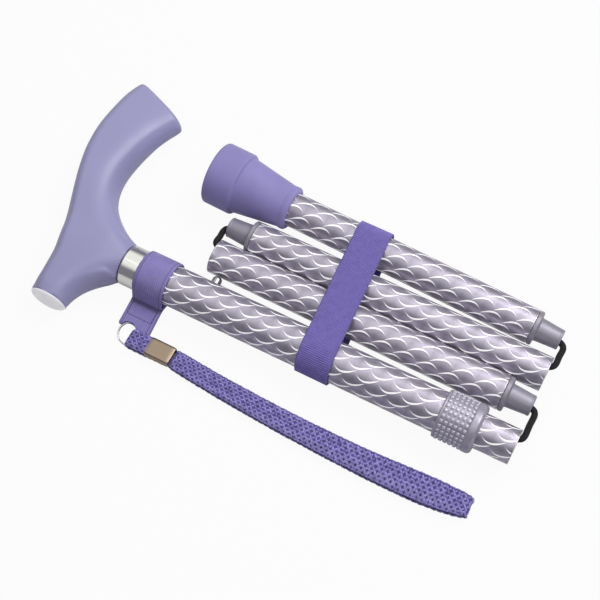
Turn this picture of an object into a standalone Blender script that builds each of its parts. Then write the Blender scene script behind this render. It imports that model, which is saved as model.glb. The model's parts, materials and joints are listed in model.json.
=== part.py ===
"""Folding walking cane, folded: four tubes side by side under a derby handle, with a wrist strap.

The shaft comes apart at three joints. Each lower section ends in a plug that seats in the open end
of the section above it, and an elastic cord runs through them all. The upper section holds a sliding
inner tube, which a snap button and a locking ring fix at seven heights.

Metres, +Z up. The cane lies on its side, the upper tube along +X and the handle at -X.
"""

import math

import bmesh
import bpy
from mathutils import Matrix, Quaternion, Vector
from mathutils.geometry import convex_hull_2d

MM = 0.001

# Fits
FIT = 0.15 * MM  # radial clearance of nested round pieces
GAP = 0.3 * MM  # between faces that meet

# Shaft tubes
TUBE_OD = 19.0 * MM
TUBE_WALL = 1.2 * MM
TUBE_BORE = TUBE_OD - 2 * TUBE_WALL
UPPER_WALL = 1.2 * MM
INNER_PLAY = 0.4 * MM  # all round between the inner and the upper tube
UPPER_BORE = TUBE_OD + 2 * INNER_PLAY
UPPER_OD = UPPER_BORE + 2 * UPPER_WALL
UPPER_LENGTH = 188.4 * MM
INNER_SETBACK = 28.4 * MM  # inner tube's top end below the upper tube's, at the lowest height
INNER_REACH = 29.2 * MM  # inner tube beyond the upper tube at the lowest height

# Height adjustment
HOLE_COUNT = 7
HOLE_PITCH = 20.0 * MM
FIRST_HOLE = 40.0 * MM  # from the upper tube's top end
BUTTON_DIAMETER = 5.4 * MM
BUTTON_CLEARANCE = 0.25 * MM
BUTTON_PROUD = 4.7 * MM  # beyond the upper tube
BUTTON_FLANGE = 7.2 * MM
SPRING_WIDTH = 5.0 * MM
SPRING_THICKNESS = 0.6 * MM
SPRING_HEAD = 5.0 * MM  # from the button up the tube
SPRING_REACH = 16.0 * MM  # from the button down to the bend
SPRING_SET = 0.6 * MM
BUSH_COLLAR = 3.0 * MM
BUSH_WALL = 2.0 * MM
BUSH_TO_SPRING = 1.9 * MM

# Locking ring and its collet
RING_WALL = 2.25 * MM
RING_OD = UPPER_OD + 2 * RING_WALL
RING_LENGTH = 21.3 * MM
RING_GRIP = 11.2 * MM  # of it over the upper tube
RING_BAND = 5.2 * MM  # smooth rounded band at its lower end
COLLET_WALL = 0.75 * MM
COLLET_LENGTH = 16.0 * MM
COLLET_GRIP = 9.0 * MM

# Handle
COLLAR_OD = UPPER_OD + 0.3 * MM
COLLAR_LENGTH = 7.3 * MM
HANDLE_HALF_THICKNESS = 13.4 * MM
SPIGOT_DEPTH = 24.0 * MM  # inside the handle
SPIGOT_REACH = 20.0 * MM  # inside the upper tube
SPIGOT_WALL = 2.0 * MM
SCREW_DIAMETER = 5.0 * MM
SCREW_LENGTH = 12.0 * MM
CAP_BULGE = 2.6 * MM

# Plug joints
PLUG_LENGTH = 13.2 * MM
SOCKET_WALL = 1.35 * MM
SOCKET_CLEARANCE = 0.3 * MM
PLUG_BASE_DIAMETER = TUBE_BORE - 2 * (FIT + SOCKET_WALL + SOCKET_CLEARANCE)
PLUG_TAPER = 1.7 * MM
PLUG_TIP_DIAMETER = PLUG_BASE_DIAMETER - PLUG_TAPER
PLUG_FLANGE = 2.5 * MM
PLUG_SPIGOT = 12.0 * MM
PLUG_WALL = 2.25 * MM
PLUG_BORE = PLUG_TIP_DIAMETER - 2 * PLUG_WALL
SOCKET_FLOOR = 2.5 * MM
SOCKET_SPARE = 0.8 * MM  # beyond the seated plug's tip

# Elastic cord
CORD_DIAMETER = 3.4 * MM
CORD_EYE = 4.4 * MM
CORD_TO_END = 0.2 * MM  # between the cord, drawn tight round a fold, and the ends that it crosses
ANCHOR_LENGTH = 8.0 * MM
ANCHOR_TO_TOP = 64.0 * MM  # from the inner tube's top end
ANCHOR_TO_FOOT = 52.0 * MM  # from the ferrule's sole
CORD_SLACK = 24.0 * MM  # free bore that a cord run slides into
CORD_TAIL = 10.0 * MM  # cord beyond the plug's shoulder

# Sections from the plug's shoulder to the open end, and to the ferrule's sole
SECTION_2 = 171.8 * MM
SECTION_3 = 173.1 * MM
SECTION_4 = 194.5 * MM

# Folds: distance of each fold's axis from the open end and from the folded plug's tip
UPPER_FOLD_END = 2.5 * MM
UPPER_FOLD_TIP = 3.2 * MM
MIDDLE_FOLD_END = 4.6 * MM
MIDDLE_FOLD_TIP = 2.5 * MM
LOWER_FOLD_END = 2.5 * MM
LOWER_FOLD_TIP = 3.4 * MM

# Spacing of the folded tubes, across the stack
RING_TO_TUBE = 1.7 * MM
TUBE_TO_TUBE = 0.36 * MM
TUBE_TO_FOOT = 2.16 * MM
STACK_TILT = 0.57  # degrees, sections 2 and 3 in plan
FOOT_TILT = 1.51  # degrees, section 4 in plan

# Ferrule
FERRULE_WALL = 2.9 * MM  # at its mouth
FERRULE_FLARE = 3.7 * MM
FERRULE_STEP = 1.7 * MM
FERRULE_MOUTH = TUBE_OD + 2 * FERRULE_WALL
FERRULE_CONE = FERRULE_MOUTH + 2 * FERRULE_FLARE
FERRULE_RIM = FERRULE_CONE + 2 * FERRULE_STEP
FERRULE_RIM_LENGTH = 17.2 * MM
FERRULE_LENGTH = 48.6 * MM
SOLE_THICKNESS = 8.0 * MM
SOLE_PAD = 20.0 * MM  # flat centre of the sole
GROOVE_WIDTH = 1.6 * MM
GROOVE_DEPTH = 1.5 * MM
WASHER_THICKNESS = 1.2 * MM

# Elastic band round the four tubes
BAND_WIDTH = 19.0 * MM
BAND_THICKNESS = 1.2 * MM
BAND_CLEARANCE = 0.35 * MM
BAND_MIDDLE = (114.0 * MM, 33.0 * MM)
BAND_LEAN = 3.5  # degrees in plan

# Webbing loop, split ring, crimp and strap
WEBBING_WIDTH = 19.6 * MM
WEBBING_PLACE = 1.3 * MM  # from the upper tube's top end
WEBBING_THICKNESS = 1.2 * MM
TAIL_THICKNESS = 3.4 * MM
TAIL_END = (-28.6 * MM, -10.2 * MM)  # across and below the tube's axis
RING_WIRE = 1.7 * MM
RING_MIDDLE_DIAMETER = 12.6 * MM
RING_CENTRE = (18.3 * MM, -31.0 * MM, 2.45 * MM)
RING_TILT = 11.3  # degrees
CRIMP_START = 30.2 * MM
CRIMP_LENGTH = 15.8 * MM
CRIMP_WIDTH = 10.8 * MM
CRIMP_HEIGHT = 6.8 * MM
CRIMP_WALL = 0.6 * MM
CRIMP_ACROSS = -33.4 * MM
LOOP_START = 20.4 * MM
STRAP_WIDTH = 10.5 * MM
STRAP_THICKNESS = 2.4 * MM

TUBE_STEPS = 32
SMALL_STEPS = 16

# Places along the upper tube's axis, from the collar's handle end
UPPER_START = COLLAR_LENGTH + GAP
UPPER_END = UPPER_START + UPPER_LENGTH
INNER_END = UPPER_END + INNER_REACH
INNER_START = UPPER_START + INNER_SETBACK
BUTTON_X = UPPER_START + FIRST_HOLE
AXIS_HEIGHT = max(RING_OD / 2, HANDLE_HALF_THICKNESS) + 0.02 * MM

STACK_SLOPE = math.radians(STACK_TILT)

# Handle outline by pairs of points across the grip: palm side, finger side, half thickness
GRIP = (
    (-53.0, 102.6, -17.2, 88.0, 9.0),
    (-56.0, 93.0, -22.6, 77.5, 10.2),
    (-57.6, 81.5, -25.7, 67.5, 11.4),
    (-58.6, 66.7, -27.7, 56.5, 12.4),
    (-57.2, 51.5, -28.4, 46.0, 13.0),
    (-53.9, 38.2, -26.6, 35.6, 13.3),
    (-50.2, 27.0, -22.0, 26.8, 13.4),
    (-46.8, 17.6, -13.6, 18.6, 13.4),
    (-44.2, 10.2, -4.6, 12.9, 13.1),
)
NOSE = (
    (-37.8, -17.0, -5.6, -15.6, 12.4),
    (-37.3, -24.0, -11.6, -22.4, 11.4),
    (-37.1, -30.6, -15.2, -30.2, 10.3),
    (-37.1, -36.8, -16.2, -36.8, 9.2),
)
NECK_PALM = ((-42.4, 4.4), (-38.4, -12.0))
NECK_HALF_THICKNESS = 12.8
SECTION_POWER = 2.5

# Strap route by hand, in millimetres: crimp, lower leg, fold at the far end, upper leg, crimp
STRAP_ROUTE = (
    (46.8, -33.4, 1.95),
    (52.0, -34.0, 1.5),
    (64.0, -35.2, 1.3),
    (82.0, -36.7, 1.25),
    (108.0, -38.4, 1.25),
    (133.0, -39.5, 1.25),
    (160.0, -40.2, 1.25),
    (182.0, -40.2, 1.25),
    (196.0, -39.6, 1.25),
    (207.0, -38.2, 1.25),
    (213.6, -36.9, 1.35),
    (216.4, -36.2, 2.15),
    (217.0, -35.7, 3.2),
    (216.4, -35.2, 4.25),
    (213.6, -34.9, 5.05),
    (207.0, -34.9, 5.15),
    (196.0, -34.9, 5.15),
    (182.0, -35.7, 5.1),
    (160.0, -36.8, 5.1),
    (133.0, -37.2, 5.1),
    (108.0, -36.9, 5.1),
    (82.0, -35.9, 5.1),
    (64.0, -34.8, 5.1),
    (52.0, -33.8, 5.1),
    (46.8, -33.4, 4.95),
)


def start_empty_scene():
    for obj in list(bpy.data.objects):
        bpy.data.objects.remove(obj, do_unlink=True)


def new_collection(name):
    made = bpy.data.collections.new(name)
    bpy.context.scene.collection.children.link(made)
    return made


start_empty_scene()
CANE = new_collection("walking_cane")
CUTTERS = new_collection("cutters")


def frame_empty(name, parent=None, location=(0, 0, 0), turn=None):
    empty = bpy.data.objects.new(name, None)
    CANE.objects.link(empty)
    empty.parent = parent
    empty.location = location
    if turn is not None:
        empty.rotation_mode = "QUATERNION"
        empty.rotation_quaternion = turn
    return empty


def paint(obj, color, roughness, metallic=0.0):
    material = bpy.data.materials.new(obj.name)
    material.use_nodes = True
    shader = material.node_tree.nodes["Principled BSDF"]
    shader.inputs["Base Color"].default_value = (*color, 1.0)
    shader.inputs["Roughness"].default_value = roughness
    shader.inputs["Metallic"].default_value = metallic
    obj.data.materials.append(material)
    return obj


LILAC_SATIN = ((0.33, 0.30, 0.57), 0.35, 0.0)
PALE_PLASTIC = ((0.75, 0.74, 0.76), 0.4, 0.0)
CHROME = ((0.85, 0.85, 0.85), 0.1, 1.0)
LAVENDER_METAL = ((0.38, 0.33, 0.42), 0.35, 0.7)
GREY_PLASTIC = ((0.28, 0.27, 0.33), 0.45, 0.0)
LILAC_RUBBER = ((0.24, 0.21, 0.47), 0.7, 0.0)
PURPLE_FABRIC = ((0.16, 0.13, 0.40), 0.9, 0.0)
BLACK_CORD = ((0.02, 0.02, 0.02), 0.8, 0.0)
STEEL = ((0.6, 0.6, 0.6), 0.3, 1.0)
BRONZE = ((0.45, 0.37, 0.30), 0.35, 1.0)


def add_piece(name, data, finish, parent, location=(0, 0, 0), turn=(0, 0, 0)):
    obj = bpy.data.objects.new(name, data)
    CANE.objects.link(obj)
    obj.parent = parent
    obj.location = location
    obj.rotation_euler = turn
    return paint(obj, *finish)


def mesh_from(build, name):
    """A mesh filled in by build(bm)."""
    bm = bmesh.new()
    build(bm)
    mesh = bpy.data.meshes.new(name)
    bm.to_mesh(mesh)
    bm.free()
    return mesh


ALONG_X = (0, math.radians(90), 0)
ALONG_Y = (math.radians(-90), 0, 0)
ACROSS_X = (math.radians(90), 0, math.radians(90))  # an outline's X, Y and Z become Y, Z and X


def turned(name, profile, finish, parent, location=(0, 0, 0), turn=ALONG_X, closed=True, steps=TUBE_STEPS):
    """A profile of (place along the axis, radius), down its outer side from the far end, then up its bore."""

    def build(bm):
        points = [bm.verts.new((radius, 0, along)) for along, radius in profile]
        for first, second in zip(points, points[1:]):
            bm.edges.new((first, second))
        if closed:
            bm.edges.new((points[-1], points[0]))

    obj = add_piece(name, mesh_from(build, name), finish, parent, location, turn)
    screw = obj.modifiers.new("turn", "SCREW")
    screw.steps = steps
    screw.render_steps = steps
    screw.use_merge_vertices = not closed
    screw.merge_threshold = 0.00001
    return obj


def sleeve(outer, inner):
    """A closed profile from an outer and an inner side, each listed from the near end to the far end."""
    return list(reversed(outer)) + list(inner)


def straight(start, end, radius):
    return [(start, radius), (end, radius)]


def extruded(name, outlines, width, finish, parent, location=(0, 0, 0), turn=(0, 0, 0)):
    """A flat outline, with any holes after it, made this wide."""
    curve = bpy.data.curves.new(name, "CURVE")
    curve.dimensions = "2D"
    curve.fill_mode = "BOTH"
    curve.extrude = width / 2
    for outline in outlines:
        spline = curve.splines.new("POLY")
        spline.points.add(len(outline) - 1)
        for point, (across, up) in zip(spline.points, outline):
            point.co = (across, up, 0, 1)
        spline.use_cyclic_u = True
    return add_piece(name, curve, finish, parent, location, turn)


def as_mesh(obj):
    """The same object as a plain mesh with its caps welded, so that it can be cut."""
    bpy.context.view_layer.update()
    graph = bpy.context.evaluated_depsgraph_get()
    mesh = bpy.data.meshes.new_from_object(obj.evaluated_get(graph))
    bm = bmesh.new()
    bm.from_mesh(mesh)
    bmesh.ops.remove_doubles(bm, verts=bm.verts, dist=0.01 * MM)
    bm.to_mesh(mesh)
    bm.free()
    name = obj.name
    made = bpy.data.objects.new(name, mesh)
    CANE.objects.link(made)
    made.parent = obj.parent
    made.location = obj.location
    made.rotation_euler = obj.rotation_euler
    bpy.data.objects.remove(obj)
    made.name = name
    return made


def smooth_route(points, per_step):
    """Points on a Catmull-Rom curve through the given ones, as vectors of any length."""
    ends = [points[0]] + list(points) + [points[-1]]
    found = []
    for before, here, there, after in zip(ends, ends[1:], ends[2:], ends[3:]):
        for step in range(per_step):
            t = step / per_step
            found.append(
                tuple(
                    0.5 * (2 * b + (c - a) * t + (2 * a - 5 * b + 4 * c - d) * t**2 + (3 * b - a - 3 * c + d) * t**3)
                    for a, b, c, d in zip(before, here, there, after)
                )
            )
    found.append(tuple(points[-1]))
    return found


def cord_tube(name, points, diameter, finish, parent):
    curve = bpy.data.curves.new(name, "CURVE")
    curve.dimensions = "3D"
    curve.bevel_depth = diameter / 2
    curve.bevel_resolution = 1
    curve.use_fill_caps = True
    spline = curve.splines.new("POLY")
    spline.points.add(len(points) - 1)
    for point, place in zip(spline.points, points):
        point.co = (*place, 1)
    return add_piece(name, curve, finish, parent)


def cut(obj, cutter):
    modifier = obj.modifiers.new(cutter.name, "BOOLEAN")
    modifier.operation = "DIFFERENCE"
    modifier.object = cutter
    modifier.solver = "EXACT"


def as_cutter(obj):
    CANE.objects.unlink(obj)
    CUTTERS.objects.link(obj)
    obj.hide_render = True
    obj.display_type = "WIRE"
    return obj


def rod_cutter(name, start, end, diameter, parent, location=(0, 0, 0), turn=ALONG_X, steps=SMALL_STEPS):
    profile = [(end, 0), (end, diameter / 2), (start, diameter / 2), (start, 0)]
    return as_cutter(turned(name, profile, STEEL, parent, location, turn, closed=False, steps=steps))


# Frames: the whole cane, the shaft's axis, and one on each fold's axis, turned back as it lies folded.
# In a fold's frame +X runs down the unfolded cane, and both tubes lie half their spacing from it.
UPPER_SHOULDER = UPPER_FOLD_TIP + PLUG_LENGTH
MIDDLE_SHOULDER = MIDDLE_FOLD_TIP + PLUG_LENGTH
LOWER_SHOULDER = LOWER_FOLD_TIP + PLUG_LENGTH
UPPER_PIVOT = INNER_END + UPPER_FOLD_END

RING_MIDDLE = UPPER_END - RING_GRIP + RING_LENGTH / 2
UPPER_SPACING = (
    RING_OD / 2 + RING_TO_TUBE + TUBE_OD / 2 - (UPPER_PIVOT - RING_MIDDLE) * math.tan(STACK_SLOPE)
)
MIDDLE_SPACING = TUBE_OD + TUBE_TO_TUBE
LOWER_SPACING = TUBE_OD + TUBE_TO_FOOT

SECTION_2_END = UPPER_SHOULDER + SECTION_2
SECTION_3_END = MIDDLE_SHOULDER + SECTION_3
SOLE = LOWER_SHOULDER + SECTION_4

# The ferrule's rim touches the floor, so section 4 rises from its plug to the ferrule.
RIM_PLACE = SOLE - FERRULE_RIM_LENGTH
FOOT_RISE = math.asin((FERRULE_RIM / 2 - AXIS_HEIGHT) / RIM_PLACE)
FOOT_TURN = math.radians(180 - FOOT_TILT + STACK_TILT)


def lower_fold_turn():
    """The turn about one tilted axis that takes section 4 from unfolded to folded, and that axis."""
    unfolded = Vector((1, 0, 0))
    folded = Vector(
        (
            math.cos(FOOT_TURN) * math.cos(FOOT_RISE),
            math.sin(FOOT_TURN) * math.cos(FOOT_RISE),
            math.sin(FOOT_RISE),
        )
    )
    lean = math.sin(FOOT_RISE) / (1 - folded.x)
    axis = Vector((lean, 0, 1)).normalized()
    flat_from = (unfolded - unfolded.dot(axis) * axis).normalized()
    flat_to = (folded - folded.dot(axis) * axis).normalized()
    angle = math.atan2(axis.dot(flat_from.cross(flat_to)), flat_from.dot(flat_to))
    return Quaternion(axis, angle)


cane = frame_empty("walking_cane_frame")
shaft = frame_empty("shaft_axis", cane, (0, 0, AXIS_HEIGHT))
upper_fold = frame_empty(
    "upper_fold",
    shaft,
    (UPPER_PIVOT, UPPER_SPACING / 2, 0),
    Quaternion((0, 0, 1), math.pi - STACK_SLOPE),
)
SECTION_2_AXIS = -UPPER_SPACING / 2
middle_fold = frame_empty(
    "middle_fold",
    upper_fold,
    (SECTION_2_END + MIDDLE_FOLD_END, SECTION_2_AXIS - MIDDLE_SPACING / 2, 0),
    Quaternion((0, 0, 1), -math.pi),
)
SECTION_3_AXIS = MIDDLE_SPACING / 2
lower_fold = frame_empty(
    "lower_fold",
    middle_fold,
    (SECTION_3_END + LOWER_FOLD_END, SECTION_3_AXIS + LOWER_SPACING / 2, 0),
    lower_fold_turn(),
)
SECTION_4_AXIS = -LOWER_SPACING / 2


# Handle
def handle_stations():
    """(palm point, finger point, half thickness, half height of a blunt finger end) down the handle."""
    radius = COLLAR_OD / 2
    tip_palm = Vector(GRIP[0][:2])
    tip_finger = Vector(GRIP[0][2:4])
    outward = (tip_finger - tip_palm).orthogonal().normalized()
    if outward.y < 0:
        outward.negate()
    middle = (tip_palm + tip_finger) / 2
    stations = []
    for reach, share in ((1.6, 0.80), (1.35, 0.92), (0.7, 0.985)):
        palm = middle + (tip_palm - middle) * share + outward * reach
        finger = middle + (tip_finger - middle) * share + outward * reach
        stations.append((palm * MM, finger * MM, GRIP[0][4] * share * MM, 0.0))
    neck_start = (*NECK_PALM[0], 0.0, radius / MM, NECK_HALF_THICKNESS)
    neck_end = (*NECK_PALM[1], 0.0, -radius / MM, NECK_HALF_THICKNESS)
    for row in smooth_route((*GRIP, neck_start), 3)[:-1]:
        stations.append((Vector(row[:2]) * MM, Vector(row[2:4]) * MM, row[4] * MM, 0.0))
    for step in range(9):
        angle = math.pi * step / 8
        share = (1 - math.cos(angle)) / 2
        palm = Vector(NECK_PALM[0]).lerp(Vector(NECK_PALM[1]), share) * MM
        finger = Vector((0, radius * math.cos(angle)))
        stations.append((palm, finger, NECK_HALF_THICKNESS * MM, radius * math.sin(angle)))
    for row in smooth_route((neck_end, *NOSE), 3)[1:]:
        stations.append((Vector(row[:2]) * MM, Vector(row[2:4]) * MM, row[4] * MM, 0.0))
    return stations


def station_height(across, half_thickness, blunt):
    """Half thickness at this share across, -1 at the palm edge and 1 at the finger edge."""
    rounded = half_thickness * (1 - abs(across) ** SECTION_POWER) ** (1 / 2.1)
    if blunt <= 0 or across <= 0:
        return rounded
    ease = across * across * (3 - 2 * across)
    flat = half_thickness + (blunt - half_thickness) * ease
    weight = min(1.0, blunt / (COLLAR_OD / 2) * 1.6)
    return max(rounded * (1 - weight) + flat * weight, blunt * across)


def build_handle_half(bm):
    columns = 14
    rows = []
    for palm, finger, half_thickness, blunt in handle_stations():
        row = []
        for column in range(columns + 1):
            across = -math.cos(math.pi * column / columns)
            place = palm.lerp(finger, (across + 1) / 2)
            if column == columns:
                height = blunt
            elif column == 0:
                height = 0.0
            else:
                height = station_height(across, half_thickness, blunt)
            row.append(bm.verts.new((place.x, place.y, height)))
        row.append(bm.verts.new((finger.x, finger.y, 0)))
        rows.append(row)
    for above, below in zip(rows, rows[1:]):
        for column in range(columns + 1):
            bm.faces.new((above[column], below[column], below[column + 1], above[column + 1]))
    bm.faces.new(rows[0][: columns + 1])
    bm.faces.new(list(reversed(rows[-1][: columns + 1])))
    bmesh.ops.remove_doubles(bm, verts=bm.verts, dist=0.02 * MM)


def make_handle():
    handle = add_piece("handle_body", mesh_from(build_handle_half, "handle_body"), LILAC_SATIN, shaft)
    handle.data.shade_smooth()
    mirror = handle.modifiers.new("other_side", "MIRROR")
    mirror.use_axis = (False, False, True)
    mirror.merge_threshold = 0.00005
    bore = UPPER_BORE
    cut(handle, rod_cutter("spigot_bore", -SPIGOT_DEPTH, 5 * MM, bore, shaft, steps=TUBE_STEPS))
    screw_bore = SCREW_DIAMETER + 2 * GAP
    screw_end = -SPIGOT_DEPTH - SCREW_LENGTH - GAP
    cut(handle, rod_cutter("screw_bore", screw_end, -SPIGOT_DEPTH + 1 * MM, screw_bore, shaft))

    def build_cap(bm):
        bmesh.ops.create_uvsphere(bm, u_segments=28, v_segments=14, radius=1.0)
        bmesh.ops.rotate(bm, verts=bm.verts, matrix=Matrix.Rotation(math.radians(90), 3, "X"))
        palm, _, finger, _, thickness = NOSE[-1]
        half_width = (finger - palm) / 2
        bmesh.ops.scale(bm, verts=bm.verts, vec=(half_width * MM, CAP_BULGE, thickness * MM))
        whole = list(bm.verts) + list(bm.edges) + list(bm.faces)
        cut_found = bmesh.ops.bisect_plane(
            bm, geom=whole, plane_co=(0, 0, 0), plane_no=(0, 1, 0), clear_outer=True, dist=0.01 * MM
        )
        rim = [item for item in cut_found["geom_cut"] if isinstance(item, bmesh.types.BMEdge)]
        bmesh.ops.contextual_create(bm, geom=rim)
        bmesh.ops.recalc_face_normals(bm, faces=bm.faces)

    nose_middle = (NOSE[-1][0] + NOSE[-1][2]) / 2 * MM
    nose_face = NOSE[-1][1] * MM - GAP
    cap = mesh_from(build_cap, "handle_end_cap")
    cap.shade_smooth()
    add_piece("handle_end_cap", cap, PALE_PLASTIC, shaft, (nose_middle, nose_face, 0))

    spigot_radius = UPPER_BORE / 2 - FIT
    floor = -SPIGOT_DEPTH + GAP
    spigot_end = UPPER_START + SPIGOT_REACH
    spigot_bore = spigot_radius - SPIGOT_WALL
    eye = SCREW_DIAMETER / 2 + GAP
    floor_top = floor + SPIGOT_WALL
    inner = [(floor, eye), (floor_top, eye), (floor_top, spigot_bore), (spigot_end, spigot_bore)]
    turned("handle_spigot", sleeve(straight(floor, spigot_end, spigot_radius), inner), STEEL, shaft)

    head = floor_top + GAP
    shank = SCREW_DIAMETER / 2
    screw_tip = floor - SCREW_LENGTH
    screw = [
        (head + 3 * MM, 0),
        (head + 3 * MM, shank * 1.2),
        (head + 1.5 * MM, shank * 1.9),
        (head, shank * 1.9),
        (head, shank),
        (screw_tip + shank, shank),
        (screw_tip, 0),
    ]
    turned("handle_screw", screw, STEEL, shaft, closed=False, steps=SMALL_STEPS)

    collar_radius = COLLAR_OD / 2
    edge = 0.4 * MM
    collar_start = GAP
    outer = [
        (collar_start, collar_radius - edge),
        (collar_start + edge, collar_radius),
        (COLLAR_LENGTH - edge, collar_radius),
        (COLLAR_LENGTH, collar_radius - edge),
    ]
    inner = straight(collar_start, COLLAR_LENGTH, UPPER_BORE / 2)
    turned("handle_collar", sleeve(outer, inner), CHROME, shaft)


# Upper tube, inner tube and what fixes the height
def make_height_adjustment():
    upper = turned(
        "upper_tube",
        sleeve(straight(UPPER_START, UPPER_END, UPPER_OD / 2), straight(UPPER_START, UPPER_END, UPPER_BORE / 2)),
        LAVENDER_METAL,
        shaft,
    )
    hole = BUTTON_DIAMETER + 2 * BUTTON_CLEARANCE
    for index in range(HOLE_COUNT):
        place = (BUTTON_X + index * HOLE_PITCH, 0, 0)
        name = f"height_hole_{index + 1}"
        cut(upper, rod_cutter(name, UPPER_BORE / 4, UPPER_OD, hole, shaft, place, ALONG_Y))

    inner = turned(
        "inner_tube",
        sleeve(
            straight(INNER_START, INNER_END, TUBE_OD / 2), straight(INNER_START, INNER_END, TUBE_BORE / 2)
        ),
        LAVENDER_METAL,
        shaft,
    )
    place = (BUTTON_X, 0, 0)
    cut(inner, rod_cutter("button_hole", TUBE_BORE / 4, TUBE_OD, hole, shaft, place, ALONG_Y))

    bush_radius = UPPER_BORE / 2 - FIT
    seat_radius = TUBE_BORE / 2 - FIT
    shoulder = INNER_START - GAP
    top = shoulder - BUSH_COLLAR
    bush_end = BUTTON_X - SPRING_HEAD - BUSH_TO_SPRING
    outer = [(top, bush_radius), (shoulder, bush_radius), (shoulder, seat_radius), (bush_end, seat_radius)]
    bore = straight(top, bush_end, seat_radius - BUSH_WALL)
    turned("inner_tube_bush", sleeve(outer, bore), GREY_PLASTIC, shaft)

    shank = BUTTON_DIAMETER / 2
    flange_low = TUBE_BORE / 2 - 2.0 * MM
    flange_top = flange_low + 1.0 * MM
    crown = UPPER_OD / 2 + BUTTON_PROUD
    dome = 1.9 * MM
    profile = [(crown, 0)]
    for step in range(1, 5):
        angle = math.radians(90) * step / 4
        profile.append((crown - dome * (1 - math.cos(angle)), shank * math.sin(angle)))
    profile += [
        (flange_top, shank),
        (flange_top, BUTTON_FLANGE / 2),
        (flange_low, BUTTON_FLANGE / 2),
        (flange_low, 0),
    ]
    turned("snap_button", profile, CHROME, shaft, place, ALONG_Y, closed=False, steps=20)

    under_button = flange_low - GAP - SPRING_THICKNESS / 2
    far_wall = -math.sqrt((TUBE_BORE / 2) ** 2 - (SPRING_WIDTH / 2) ** 2) + GAP + SPRING_THICKNESS / 2
    near_leaf = under_button - SPRING_SET
    route = [(-SPRING_HEAD, under_button), (BUTTON_FLANGE / 2, under_button), (SPRING_REACH, near_leaf)]
    bend = (near_leaf - far_wall - SPRING_SET) / 2
    centre = (SPRING_REACH, near_leaf - bend)
    for step in range(1, 8):
        angle = math.radians(90 - 180 * step / 8)
        route.append((centre[0] + bend * math.cos(angle), centre[1] + bend * math.sin(angle)))
    route += [(SPRING_REACH, far_wall + SPRING_SET), (0, far_wall)]

    def build_spring(bm):
        rows = [
            [bm.verts.new((along, across, side * SPRING_WIDTH / 2)) for side in (-1, 1)] for along, across in route
        ]
        for first, second in zip(rows, rows[1:]):
            bm.faces.new((first[0], second[0], second[1], first[1]))

    spring = add_piece("button_spring", mesh_from(build_spring, "button_spring"), STEEL, shaft, place)
    solid = spring.modifiers.new("thickness", "SOLIDIFY")
    solid.thickness = SPRING_THICKNESS
    solid.offset = 0

    collet_start = UPPER_END - COLLET_GRIP
    collet_end = collet_start + COLLET_LENGTH
    on_tube = UPPER_OD / 2 + FIT
    on_inner = TUBE_OD / 2 + FIT
    outer = straight(collet_start, collet_end, on_tube + COLLET_WALL)
    step_place = UPPER_END + GAP
    inner = [(collet_start, on_tube), (step_place, on_tube), (step_place, on_inner), (collet_end, on_inner)]
    turned("collet", sleeve(outer, inner), GREY_PLASTIC, shaft)

    ring_start = UPPER_END - RING_GRIP
    ring_end = ring_start + RING_LENGTH
    band = RING_OD / 2
    grip = band - 0.45 * MM
    band_start = ring_end - RING_BAND
    outer = [
        (ring_start, grip - 0.5 * MM),
        (ring_start + 0.4 * MM, grip + 0.15 * MM),
        (ring_start + 1.4 * MM, grip + 0.15 * MM),
        (ring_start + 1.7 * MM, grip),
        (band_start, grip),
        (band_start + 0.8 * MM, band),
        (ring_end - 2.2 * MM, band),
        (ring_end - 0.8 * MM, band - 0.5 * MM),
        (ring_end, band - 1.6 * MM),
    ]
    ring_bore = on_tube + COLLET_WALL + FIT
    step_place = collet_end + GAP
    inner_end_radius = TUBE_OD / 2 + 2 * FIT
    inner = [
        (ring_start, ring_bore),
        (step_place, ring_bore),
        (step_place, inner_end_radius),
        (ring_end, inner_end_radius),
    ]
    turned("locking_ring", sleeve(outer, inner), GREY_PLASTIC, shaft)


# Plug joints
SOCKET_DEPTH = PLUG_LENGTH + SOCKET_SPARE


def make_plug(name, frame, axis, shoulder):
    """The plug of a section whose shoulder lies here in its fold's frame."""
    tip = shoulder - PLUG_LENGTH
    flange = shoulder + PLUG_FLANGE
    end = flange + PLUG_SPIGOT
    seat = TUBE_BORE / 2 - FIT
    outer = [
        (tip, PLUG_TIP_DIAMETER / 2 - 0.5 * MM),
        (tip + 0.5 * MM, PLUG_TIP_DIAMETER / 2),
        (shoulder, PLUG_BASE_DIAMETER / 2),
        (shoulder, TUBE_OD / 2 - 0.3 * MM),
        (shoulder + 0.3 * MM, TUBE_OD / 2),
        (flange, TUBE_OD / 2),
        (flange, seat),
        (end, seat),
    ]
    turned(name, sleeve(outer, straight(tip, end, PLUG_BORE / 2)), GREY_PLASTIC, frame, (0, axis, 0))


def make_socket(name, frame, axis, end):
    """The insert in an open end, with an eye in its floor that the cord runs through."""
    mouth = end - 0.5 * MM
    floor_top = end - SOCKET_DEPTH
    floor = floor_top - SOCKET_FLOOR
    bore = PLUG_BASE_DIAMETER / 2 + SOCKET_CLEARANCE
    inner = [(floor, CORD_EYE / 2), (floor_top, CORD_EYE / 2), (floor_top, bore), (mouth, bore)]
    outer = straight(floor, mouth, TUBE_BORE / 2 - FIT)
    turned(name, sleeve(outer, inner), GREY_PLASTIC, frame, (0, axis, 0))


def make_tube(name, frame, axis, start, end):
    profile = sleeve(straight(start, end, TUBE_OD / 2), straight(start, end, TUBE_BORE / 2))
    turned(name, profile, LAVENDER_METAL, frame, (0, axis, 0))


def make_cord_run(name, frame, axis, start, end):
    count = 6
    points = [(start + (end - start) * step / count, axis, 0) for step in range(count + 1)]
    cord_tube(name, points, CORD_DIAMETER, BLACK_CORD, frame)


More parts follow.
